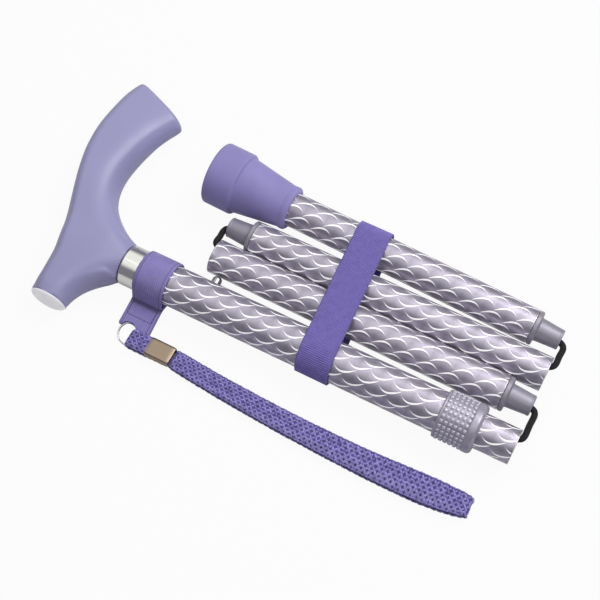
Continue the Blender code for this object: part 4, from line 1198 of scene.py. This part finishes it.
# Cord at the folds
class CANE_OT_cords(CaneOperator, bpy.types.Operator):
    """Make the elastic cord that runs through the tubes and shows at the folds"""

    bl_idname = "cane.cords"
    bl_label = "Elastic cord"

    def execute(self, context):
        black = finish("black_cord", yarn, (0.022, 0.022, 0.024), (0.006, 0.006, 0.007), 3400)
        section = circle(CORD_RADIUS * MM, 16)
        for fold, body, parent, tube, child, plug in (
            ("upper", "inner_section", SHAFT, "inner_tube", SECTION_2, "section_2_plug"),
            ("middle", "section_2", SECTION_2, "section_2_tube", SECTION_3, "section_3_plug"),
            ("lower", "section_3", SECTION_3, "section_3_tube", FOOT, "foot_plug"),
        ):
            node = fold + "_cord_bend"
            bend = swept(node + "_cord", fold_route(parent, tube, child, plug), section, black, UP)
            dress(bend, body, "cord", node)
            held = axis_point(parent, middle_of(node).x)
            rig.squash(bend, "fold_" + fold, axis=(0, 1, 0), anchor=held, keep=0.1)
        for node, body, turned in (
            ("upper_cord_run", "upper_link", SHAFT),
            ("middle_cord_run", "middle_link", SECTION_2),
            ("lower_cord_run", "lower_link", SECTION_3),
            ("foot_cord", "foot_section", FOOT),
        ):
            start, end = (on_axis(turned, x) for x in reach_of(node, turned))
            off = turned.to_3x3() @ Vector((0, 0, (turned.inverted() @ middle_of(node)).z))
            path = [start.lerp(end, step / 12) + off for step in range(13)]
            dress(swept(node + "_cord", path, section, black), body, "cord", node)
        return {"FINISHED"}


def fold_route(parent, tube, child, plug):
    """From the floor of an open end's socket round the fold and through the folded section's plug."""
    end = reach_of(tube, parent)[1]
    tip = reach_of(plug, child)[0]
    ahead = parent.to_3x3().col[0]
    toward = on_axis(child, tip) - on_axis(parent, end)
    toward = (toward - toward.dot(ahead) * ahead).normalized()
    mouth, low_side = 4.8, 1.4

    def in_parent(x, off=0.0):
        return on_axis(parent, x) + toward * off * MM

    def in_child(x, off=0.0):
        return on_axis(child, x) - toward * off * MM

    leaving, entering = in_parent(end, mouth), in_child(tip, low_side)
    inward = parent.inverted()
    out = max(end * MM, (inward @ entering).x) + 1.9 * MM
    bend = toward * 2.4 * MM
    bulge = [leaving + bend, leaving.lerp(entering, 0.5), entering - bend]
    points = [
        in_parent(end - 14.0),
        in_parent(end - 10.5),
        in_parent(end - 4.9, mouth * 0.6),
        leaving,
        *(place + ahead * (out - (inward @ place).x) for place in bulge),
        entering,
        in_child(tip + 6.6, low_side * 0.8),
        in_child(tip + 13.2, low_side * 0.3),
        in_child(tip + 18.2),
        in_child(tip + 23.2),
    ]
    return smooth_route(points, 6)


# Locking ring
class CANE_OT_ring(CaneOperator, bpy.types.Operator):
    """Make the locking ring with its rows of square studs"""

    bl_idname = "cane.ring"
    bl_label = "Locking ring"

    def execute(self, context):
        settings = context.scene.cane_ring
        color = tuple(settings.color)
        start, end = (shaft_x(corner.x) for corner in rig.box("locking_ring"))
        band = radius_of("locking_ring")
        floor = band - 0.75
        band_start = end - 5.2
        wide_bore = UPPER_RADIUS + 1.05
        narrow = shaft_x(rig.box("upper_tube")[1].x) + 7.3
        bore = TUBE_RADIUS + 0.3
        outer = [(start, wide_bore + 0.25), (start, floor - 0.1), (start + 0.4, band - 0.35)]
        outer += [(start + 1.3, band - 0.35), (start + 1.6, floor), (band_start - 0.3, floor)]
        outer += [(band_start + 0.4, band - 0.1), (band_start + 1.0, band), (end - 2.2, band)]
        outer += [(end - 1.3, band - 0.22), (end - 0.5, band - 0.8), (end, band - 1.7)]
        inner = [(start, wide_bore), (narrow, wide_bore), (narrow, bore), (end, bore)]
        grey = moulded("ring_plastic", color, 0.36)
        ring = lathe("locking_ring_skin", sleeve(outer, inner), SHAFT, grey, 96)
        dress(ring, "ring", "grey_plastic", "locking_ring")

        places = []
        first = start + 2.4
        step = (band_start - 0.9 - first) / (settings.columns - 1)
        for column in range(settings.columns):
            for index in range(settings.around):
                angle = 2 * math.pi * index / settings.around
                outward = Vector((0, math.sin(angle), -math.cos(angle)))
                place = ALONG * (first + column * step) + outward * (floor + 0.1)
                places.append((SHAFT @ (place * MM), ALONG, outward))
        # Painted highlight: the raised studs take the ring's colour half again paler
        pale = moulded("stud_plastic", scaled(color, 1.5), 0.3)
        studs = repeated("locking_ring_studs", stud_mesh(settings.stud), places, pale, 0.06, 5, 70)
        dress(studs, "ring", "grey_plastic")
        return {"FINISHED"}


# Ferrule
class CANE_OT_ferrule(CaneOperator, bpy.types.Operator):
    """Make the rubber ferrule"""

    bl_idname = "cane.ferrule"
    bl_label = "Ferrule"

    def execute(self, context):
        settings = context.scene.cane_ferrule
        material = finish("ferrule_rubber", rubber, tuple(settings.color))
        rim = settings.rim_radius / MM
        lip = 12.4
        bore = TUBE_RADIUS + 0.15
        top = -48.6
        rim_start = -17.2
        groove_depth = -1.5
        floor = -8.0
        profile = [(0.0, 0.0)]
        for groove in (5.0, 10.0, 13.9):
            profile += [(0.0, groove), (groove_depth, groove + 0.2)]
            profile += [(groove_depth, groove + 1.4), (0.0, groove + 1.6)]
        profile += [(0.0, rim - 0.9), (-0.9, rim), (rim_start + 0.9, rim), (rim_start, rim - 0.8)]
        profile += [(rim_start - 0.3, 16.1), (top + 4.4, lip - 0.25), (top + 3.0, lip), (top + 1.2, lip)]
        profile += [(top, lip - 1.2), (top, bore), (floor, bore), (floor, 0.0)]
        ferrule = lathe("ferrule_skin", profile, FOOT, material, 96, 0.5)
        dress(ferrule, "foot_section", "ferrule_rubber", "ferrule")
        return {"FINISHED"}


# Elastic band
BAND_LEAN = math.tan(math.radians(3.5))


def belt_round(middle, half, count):
    """Points evenly far apart on a belt drawn tight round the tubes, for its whole width."""
    samples = []
    for x in (middle.x - half, middle.x + half):
        for turned in (SHAFT, SECTION_2, SECTION_3, FOOT):
            centre = axis_point(turned, x).yz
            radius = (UPPER_RADIUS if turned is SHAFT else TUBE_RADIUS) * MM
            samples += [centre + Vector(point) for point in circle(radius + 0.95 * MM, 96)]
    hull = [samples[index] for index in convex_hull_2d(samples)]
    points = evenly(hull + hull[:1], count, True)
    return [Vector((middle.x - (point.x - middle.y) * BAND_LEAN, *point)) for point in points]


class CANE_OT_band(CaneOperator, bpy.types.Operator):
    """Make the ribbed elastic band round the folded tubes"""

    bl_idname = "cane.band"
    bl_label = "Elastic band"

    def execute(self, context):
        settings = context.scene.cane_band
        color = tuple(settings.color)
        middle = middle_of("elastic_band")
        half = settings.width / 2
        flat = [Vector((0, point.y, point.z)) for point in belt_round(middle, half, 400)]
        count = round(length_of(flat) / settings.rib)
        path = belt_round(middle, half, count * 2)
        tape = finish("elastic_tape", elastic_tape, color)
        section = flat_section(settings.width, 1.0 * MM, 40, 8.0)
        belt = swept("band_tape", path, section, tape, ALONG, True)
        dress(belt, "inner_section", "elastic", "elastic_band")

        # Painted highlight: the raised ribs take the tape's colour made paler, with the tape's own colour as painted
        # shade in their hollows
        ribbed = finish("elastic_ribs", yarn, scaled(color, 1.3), color, 1800, 1.0)
        rib_path = [ALONG * (half * 0.97 * (step / 3 - 1)) for step in range(7)]
        rib = swept("rib_part", rib_path, flat_section(settings.rib * 0.82, 0.42 * MM, 8, 2.2), ribbed)
        places = []
        for index in range(0, len(path), 2):
            forward = (path[index + 1] - path[index - 1]).normalized()
            outward = forward.cross(ALONG).normalized()
            if outward.dot(path[index] - middle) < 0:
                outward.negate()
            places.append((path[index] + outward * 0.5 * MM, ALONG, outward))
        ribs = repeated("band_ribs", rib.data, places, ribbed, 0.015, 7, 80)
        bpy.data.objects.remove(rib)
        dress(ribs, "inner_section", "elastic")
        outer_side = Vector((middle.x, SHAFT_START.y - UPPER_RADIUS * MM, middle.z))
        for piece in (belt, ribs):
            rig.squash(piece, "fold_upper", axis=(0, 1, 0), anchor=outer_side, keep=0.325)
        return {"FINISHED"}


# Wrist strap
# The route in mm from the shaft's start and the floor: the lower leg, the far fold and the upper leg
STRAP_LOWER = (
    (46.8, -33.4, 1.95),
    (52.0, -34.0, 1.6),
    (64.0, -35.2, 1.45),
    (82.0, -36.7, 1.45),
    (108.0, -38.4, 1.45),
    (133.0, -39.5, 1.45),
    (160.0, -40.2, 1.45),
    (182.0, -40.2, 1.45),
    (196.0, -39.6, 1.45),
    (207.0, -38.2, 1.45),
    (213.6, -36.9, 1.6),
    (216.4, -36.2, 2.15),
)
STRAP_UPPER = (
    (217.0, -35.7, 3.2),
    (216.4, -35.2, 4.35),
    (213.6, -34.9, 5.0),
    (207.0, -34.9, 5.05),
    (196.0, -34.9, 5.05),
    (182.0, -35.7, 5.0),
    (160.0, -36.8, 5.0),
    (133.0, -37.2, 5.0),
    (108.0, -36.9, 5.0),
    (82.0, -35.9, 5.0),
    (64.0, -34.8, 5.0),
    (52.0, -33.8, 5.0),
    (46.8, -33.4, 4.95),
)
LOOP_WIDTH = 10.5
LOOP_THICKNESS = 2.9


def between(points, x):
    """The second measure of points listed by rising X, at this X."""
    for before, after in zip(points, points[1:]):
        if x <= after[0]:
            share = (x - before[0]) / max(after[0] - before[0], 0.001)
            return before[1] + (after[1] - before[1]) * max(share, 0.0)
    return points[-1][1]


def braid(name, route, width, thickness, settings):
    """A flat braid: a dark core along the route, a painted shade that shows between the yarns, and yarns that cross
    over and under all round it.
    """
    color, dark = tuple(settings.color), tuple(settings.dark)
    # The core's dark colour is painted shade for the gaps between the yarns; the yarns' hollows get half their colour
    # as painted shade
    core_finish = finish("braid_core", yarn, scaled(dark, 1.5), dark)
    yarn_finish = finish("braid_yarn", yarn, color, scaled(color, 0.5))
    path = evenly(route, round(length_of(route) / (1.6 * MM)) + 1)
    core_section = flat_section(width - 0.7 * MM, thickness - 0.55 * MM, 20)
    core = swept(name + "_core", path, core_section, core_finish)
    rows = round(length_of(route) / settings.pitch)
    line = evenly(route, rows + 1)
    ring = flat_section(width - 0.7 * MM, thickness - 0.8 * MM, settings.columns)
    slant = math.radians(36)
    draw = random.Random(17)
    places = []
    for row in range(1, rows):
        tangent = (line[row + 1] - line[row - 1]).normalized()
        side, normal = leveled(tangent, ACROSS)
        for column, here in enumerate(ring):
            round_it = (ring[(column + 1) % len(ring)] - ring[column - 1]).normalized()
            off = side * here.x + normal * here.y
            outward = side * round_it.y - normal * round_it.x
            if outward.dot(off) < 0:
                outward.negate()
            turn = (slant if (row + column) % 2 else -slant) + draw.uniform(-0.16, 0.16)
            forward = tangent * math.cos(turn) + outward.cross(tangent) * math.sin(turn)
            stray = tangent * draw.uniform(-0.14, 0.14) * MM - outward * draw.uniform(0.0, 0.16) * MM
            places.append((line[row] + off + stray, forward, outward))
    yarns = repeated(name + "_yarns", yarn_mesh(2.75, 1.62, 0.85), places, yarn_finish, 0.12, 11)
    return core, yarns, path


class CANE_OT_strap(CaneOperator, bpy.types.Operator):
    """Make the wrist strap, its loop through the ring and the crimp that holds them"""

    bl_idname = "cane.strap"
    bl_label = "Wrist strap"

    def execute(self, context):
        settings = context.scene.cane_strap
        route = smooth_route([on_shaft(point) for point in STRAP_LOWER + STRAP_UPPER], 6)
        strap, yarns, path = braid("strap", route, settings.width, settings.thickness, settings)
        self.widen(yarns, settings.width / MM)
        dress(strap, "upper_section", "braid", "wrist_strap")
        dress(yarns, "upper_section", "braid")

        sizes = LOOP_WIDTH * MM, LOOP_THICKNESS * MM
        loop, loop_yarns, _ = braid("loop", self.loop_route(), *sizes, settings)
        dress(loop, "upper_section", "braid", "strap_loop")
        dress(loop_yarns, "upper_section", "braid")
        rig.cord(
            strap,
            exit=path[0],
            length=length_of(path),
            diameter=settings.width,
            far_end="object",
            stiffness="limp",
            lay="loose",
            path=path,
            with_pieces=[yarns, loop, loop_yarns, self.make_crimp(), self.make_ring()],
        )
        return {"FINISHED"}

    def loop_route(self):
        """From the crimp, round the ring's wire and back."""
        across, bend, centre = -33.4, 1.95, 3.5
        leg = [(44.0, 1.2), (35.0, 1.3), (31.2, bend), (27.0, bend)]
        turn = []
        for step in range(1, 12):
            angle = math.radians(90 + 180 * step / 12)
            turn.append((22.6 + 2.2 * math.cos(angle), bend * math.sin(angle)))
        back = [(x, -up) for x, up in reversed(leg)]
        return [on_shaft((x, across, centre + up)) for x, up in leg + turn + back]

    def widen(self, yarns, width):
        """The upper leg lies flatter toward the far end, as far out as the lower leg's edge."""
        for vertex in yarns.data.vertices:
            x, y, z = (vertex.co - BASE) / MM
            across = between(STRAP_UPPER[::-1], x)
            apart = max(across - between(STRAP_LOWER, x), 0.0)
            moved = (y - across) * apart / width - apart / 2
            # Only the upper leg moves: these heights lie between the two legs
            vertex.co.y += moved * eased(z, 2.8, 4.0) * MM

    def make_crimp(self):
        """Sheet metal bent round the braid, its outer edge lapped over the inner one on the -Y side."""
        bronze = finish("bronze_plating", plated, (0.330, 0.262, 0.190), 0.3)
        low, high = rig.box("strap_crimp")
        low.x += 1.3 * MM
        centre = (low + high) / 2
        wide, tall = ((high - low) / 2 / MM).yz - Vector((0.3, 0.3))
        inside = wide - 0.62
        corners = [(-inside, 0.9), (-inside, -tall), (wide, -tall)]
        corners += [(wide, tall), (-wide, tall), (-wide, -0.7)]
        path = [centre + Vector((0, *point)) * MM for point in filleted(corners, 1.3, False)]
        section = flat_section(high.x - low.x, 0.58 * MM, 24, 12.0)
        crimp = swept("crimp", path, section, bronze, ALONG)
        return dress(crimp, "upper_section", "bronze", "strap_crimp")

    def make_ring(self):
        """Two turns of wire lying on each other, with their ends side by side."""
        centre = on_shaft((18.3, -31.0, 2.45))
        tilt = Matrix.Rotation(math.radians(11.3), 3, "X")
        radius = 6.3
        turns = 150
        path = []
        for step in range(turns + 1):
            angle = 4 * math.pi * step / turns + math.radians(70)
            rise = 0.41 * math.tanh((step / turns - 0.5) * 14)
            wire = Vector((radius * math.cos(angle), radius * math.sin(angle), rise))
            path.append(centre + tilt @ wire * MM)
        ring = swept("key_ring", path, circle(0.42 * MM, 10), steel(), tilt @ UP)
        return dress(ring, "upper_section", "steel", "split_ring")


# Webbing, with places across and up from the upper tube's axis
TAIL_START = Vector((-12.2, -6.3)) * MM
TAIL_END = Vector((-28.2, -10.1)) * MM
TAIL_DOWN = (TAIL_END - TAIL_START).normalized()
TAIL_SIDE = TAIL_DOWN.orthogonal()
TAIL_BEND = 1.1 * MM
# CREASE: height of the painted shadow along the belt's lower edge, where it lies over the tail
CREASE = -5.4


def half_gap(share):
    """Half the distance between the tail's two layers, this share of the way down it."""
    return (0.68 + 0.42 * share**3) * MM


class CANE_OT_webbing(CaneOperator, bpy.types.Operator):
    """Make the webbing loop round the tube, with its sewn tail"""

    bl_idname = "cane.webbing"
    bl_label = "Webbing loop"

    def execute(self, context):
        settings = context.scene.cane_webbing
        color = tuple(settings.color)
        middle = middle_of("webbing_loop").x + 0.6 * MM
        # Height of the painted shadow line where the belt meets the tail
        crease = SHAFT_START.z + CREASE * MM
        tape = finish("webbing_tape", ribbed_webbing, color, middle, settings.width, crease)
        outline = self.outline((UPPER_RADIUS + 0.3) * MM + settings.thickness / 2)
        path = [Vector((middle, *(SHAFT_START.yz + point))) for point in outline]
        section = flat_section(settings.width, settings.thickness, 44, 7.0)
        loop = swept("webbing", path, section, tape, ALONG, True)
        cut_rod(loop, on_shaft((16.4, -29.4, 3.0)), (4.4, 3.6, 12.0), 32)
        dress(smooth(loop, 50), "upper_section", "webbing", "webbing_loop")

        thread = finish("sewing_thread", yarn, scaled(color, 0.42), scaled(color, 0.2), 3000)
        outward = Vector((0, *-TAIL_SIDE))
        slope = Vector((0, *TAIL_DOWN))
        half = settings.width / 2 - 1.9 * MM
        stitches = []
        for index in range(10):
            across = half * ((index + 0.5) / 5 - 1)
            stitches += [(across, reach, ALONG) for reach in (2.6 * MM, 10.0 * MM)]
        for index in range(4):
            stitches += [(across, (3.5 + 1.85 * index) * MM, slope) for across in (-half, half)]
        places = []
        for across, reach, forward in stitches:
            height = half_gap(reach / (TAIL_END - TAIL_START).length) + settings.thickness / 2
            point = SHAFT_START.yz + TAIL_START + TAIL_DOWN * reach - TAIL_SIDE * height
            places.append((Vector((middle + across, *point)), forward, outward))
        sewn = repeated("webbing_stitches", yarn_mesh(1.55, 0.55, 0.4), places, thread, 0.1, 13)
        dress(sewn, "upper_section", "webbing")
        return {"FINISHED"}

    def outline(self, radius):
        """The belt's middle line: round the tube, down one layer of the tail and up the other."""
        fine = []
        for step in range(61):
            angle = math.radians(228 + 306 * step / 60)
            fine.append(Vector((radius * math.cos(angle), radius * math.sin(angle))))
        last = TAIL_END - TAIL_DOWN * TAIL_BEND
        shares = [step / 8 for step in range(1, 9)]
        fine.append(TAIL_START + TAIL_DOWN * 1.0 * MM - TAIL_SIDE * 0.75 * MM)
        fine += [TAIL_START.lerp(last, share) - TAIL_SIDE * half_gap(share) for share in shares]
        for step in range(1, 8):
            angle = math.pi * step / 8
            fine.append(last + (TAIL_DOWN * math.sin(angle) - TAIL_SIDE * math.cos(angle)) * TAIL_BEND)
        fine += [TAIL_START.lerp(last, share) + TAIL_SIDE * half_gap(share) for share in shares[::-1]]
        fine.append(TAIL_START + TAIL_DOWN * 0.6 * MM + TAIL_SIDE * 0.85 * MM)
        return evenly(fine + fine[:1], 170, True)


# Stage, light and camera
SOFTBOX = Vector((0.0, 0.216, 0.976))
FLOOR_GREY = (0.68, 0.68, 0.69)
LOW_SKY = (0.22, 0.21, 0.25)
# In metres: half the floor's side, and each lamp's place and size
FLOOR_REACH = 6.0
KEY_LAMP = ((0.45, 0.52, 1.05), (0.8, 0.65))
FILL_LAMP = ((0.1, -0.2, 1.5), (1.2, 1.2))
# Where the camera is and what it looks at, in mm as on the shaft, then its roll and its lens
CAMERA_PLACE = (228.6, -228.9, 591.05)
CAMERA_TARGET = (92.13, 23.55, 13.3)
CAMERA_ROLL = -0.017
FOCAL_PIXELS = 1220.4
PICTURE_WIDTH = 600
SENSOR = 36.0


class CANE_OT_stage(CaneOperator, bpy.types.Operator):
    """Make the floor, the light and the camera"""

    bl_idname = "cane.stage"
    bl_label = "Stage"

    def execute(self, context):
        scene = context.scene
        settings = scene.cane_stage
        self.make_floor()
        self.make_world(scene, settings.ambient)
        self.make_lamp("key_light", *KEY_LAMP, settings.key_power)
        self.make_lamp("fill_light", *FILL_LAMP, settings.fill_power)
        self.make_camera(scene)
        scene.view_settings.view_transform = "Standard"
        return {"FINISHED"}

    def make_floor(self):
        mesh = bpy.data.meshes.new("studio_floor")
        height = BASE.z - 0.15 * MM
        signs = ((-1, -1), (1, -1), (1, 1), (-1, 1))
        corners = [(x * FLOOR_REACH, y * FLOOR_REACH, height) for x, y in signs]
        mesh.from_pydata(corners, [], [(0, 1, 2, 3)])
        material = bpy.data.materials.new("studio_floor")
        material.use_nodes = True
        graph = Graph(material.node_tree)
        nodes = graph.tree.nodes
        nodes.remove(nodes["Principled BSDF"])
        matt = graph.signal("ShaderNodeBsdfDiffuse", {"Color": FLOOR_GREY})
        white = graph.signal("ShaderNodeEmission", {"Color": WHITE})
        mixed = graph.signal("ShaderNodeMixShader", {0: graph.seen_rays(0.94, 0.2), 1: matt, 2: white})
        graph.feed(nodes["Material Output"].inputs["Surface"], mixed)
        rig.stage(object_from("studio_floor", mesh, material))

    def make_world(self, scene, ambient):
        scene.world = bpy.data.worlds.new("studio")
        scene.world.use_nodes = True
        graph = Graph(scene.world.node_tree)
        place = graph.node("ShaderNodeTexCoord", {})["Generated"]
        facing = {0: place, 1: SOFTBOX}
        toward = graph.signal("ShaderNodeVectorMath", facing, "Value", operation="DOT_PRODUCT")
        seen = graph.ease(toward, 0.45, 0.8).math("MAXIMUM", graph.seen_rays(1.0, 0.0))
        level = graph.signal("ShaderNodeMapRange", {0: graph.seen_rays(), 3: ambient, 4: 1.0})
        back = graph.tree.nodes["Background"].inputs
        graph.feed(back["Color"], graph.mix(seen, LOW_SKY, WHITE))
        graph.feed(back["Strength"], level)

    def make_lamp(self, name, place, size, power):
        lamp = bpy.data.lights.new(name, "AREA")
        lamp.shape = "RECTANGLE"
        lamp.size, lamp.size_y = size
        lamp.energy = power
        holder = bpy.data.objects.new(name, lamp)
        bpy.context.scene.collection.objects.link(holder)
        holder.location = place
        holder.rotation_euler = (-Vector(place)).to_track_quat("-Z", "Y").to_euler()

    def make_camera(self, scene):
        """The photograph's view, from in front and above."""
        place, target = on_shaft(CAMERA_PLACE), on_shaft(CAMERA_TARGET)
        forward = (target - place).normalized()
        level = forward.cross(UP).normalized()
        upright = level.cross(forward)
        right = level * math.cos(CAMERA_ROLL) + upright * math.sin(CAMERA_ROLL)
        upward = upright * math.cos(CAMERA_ROLL) - level * math.sin(CAMERA_ROLL)
        lens = bpy.data.cameras.new("camera")
        lens.sensor_width = SENSOR
        lens.lens = FOCAL_PIXELS / PICTURE_WIDTH * SENSOR
        lens.clip_start = 0.01
        camera = bpy.data.objects.new("camera", lens)
        scene.collection.objects.link(camera)
        turned = Matrix((right, upward, -forward)).transposed().to_4x4()
        camera.matrix_world = Matrix.Translation(place) @ turned
        scene.camera = camera


class CANE_PT_panel(bpy.types.Panel):
    """The cane's pieces"""

    bl_idname = "CANE_PT_panel"
    bl_label = "Walking cane"
    bl_space_type = "VIEW_3D"
    bl_region_type = "UI"
    bl_category = "Cane"

    def draw(self, context):
        for operator in OPERATORS:
            self.layout.operator(operator.bl_idname)
        for name in SETTINGS:
            box = self.layout.box()
            group = getattr(context.scene, name)
            for key in group.__annotations__:
                box.prop(group, key)


SETTINGS = {
    "cane_tubes": TubeSettings,
    "cane_handle": HandleSettings,
    "cane_ring": RingSettings,
    "cane_ferrule": FerruleSettings,
    "cane_band": BandSettings,
    "cane_strap": StrapSettings,
    "cane_webbing": WebbingSettings,
    "cane_stage": StageSettings,
}
OPERATORS = (
    CANE_OT_stage,
    CANE_OT_strap,
    CANE_OT_handle,
    CANE_OT_tubes,
    CANE_OT_plugs,
    CANE_OT_cords,
    CANE_OT_ring,
    CANE_OT_ferrule,
    CANE_OT_band,
    CANE_OT_webbing,
)


def register():
    for kind in (*SETTINGS.values(), *OPERATORS, CANE_PT_panel):
        bpy.utils.register_class(kind)
    for name, kind in SETTINGS.items():
        setattr(bpy.types.Scene, name, PointerProperty(type=kind))


def unregister():
    for name in SETTINGS:
        delattr(bpy.types.Scene, name)
    for kind in reversed((*SETTINGS.values(), *OPERATORS, CANE_PT_panel)):
        bpy.utils.unregister_class(kind)


def main():
    register()
    for operator in OPERATORS:
        group, name = operator.bl_idname.split(".")
        getattr(getattr(bpy.ops, group), name)()
    sizes = {
        "cad": [list(corner) for corner in CAD_BOX],
        "visual": [list(corner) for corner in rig.bounds()],
    }
    with open("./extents.json", "w") as out:
        json.dump(sizes, out)


if __name__ == "__main__":
    main()
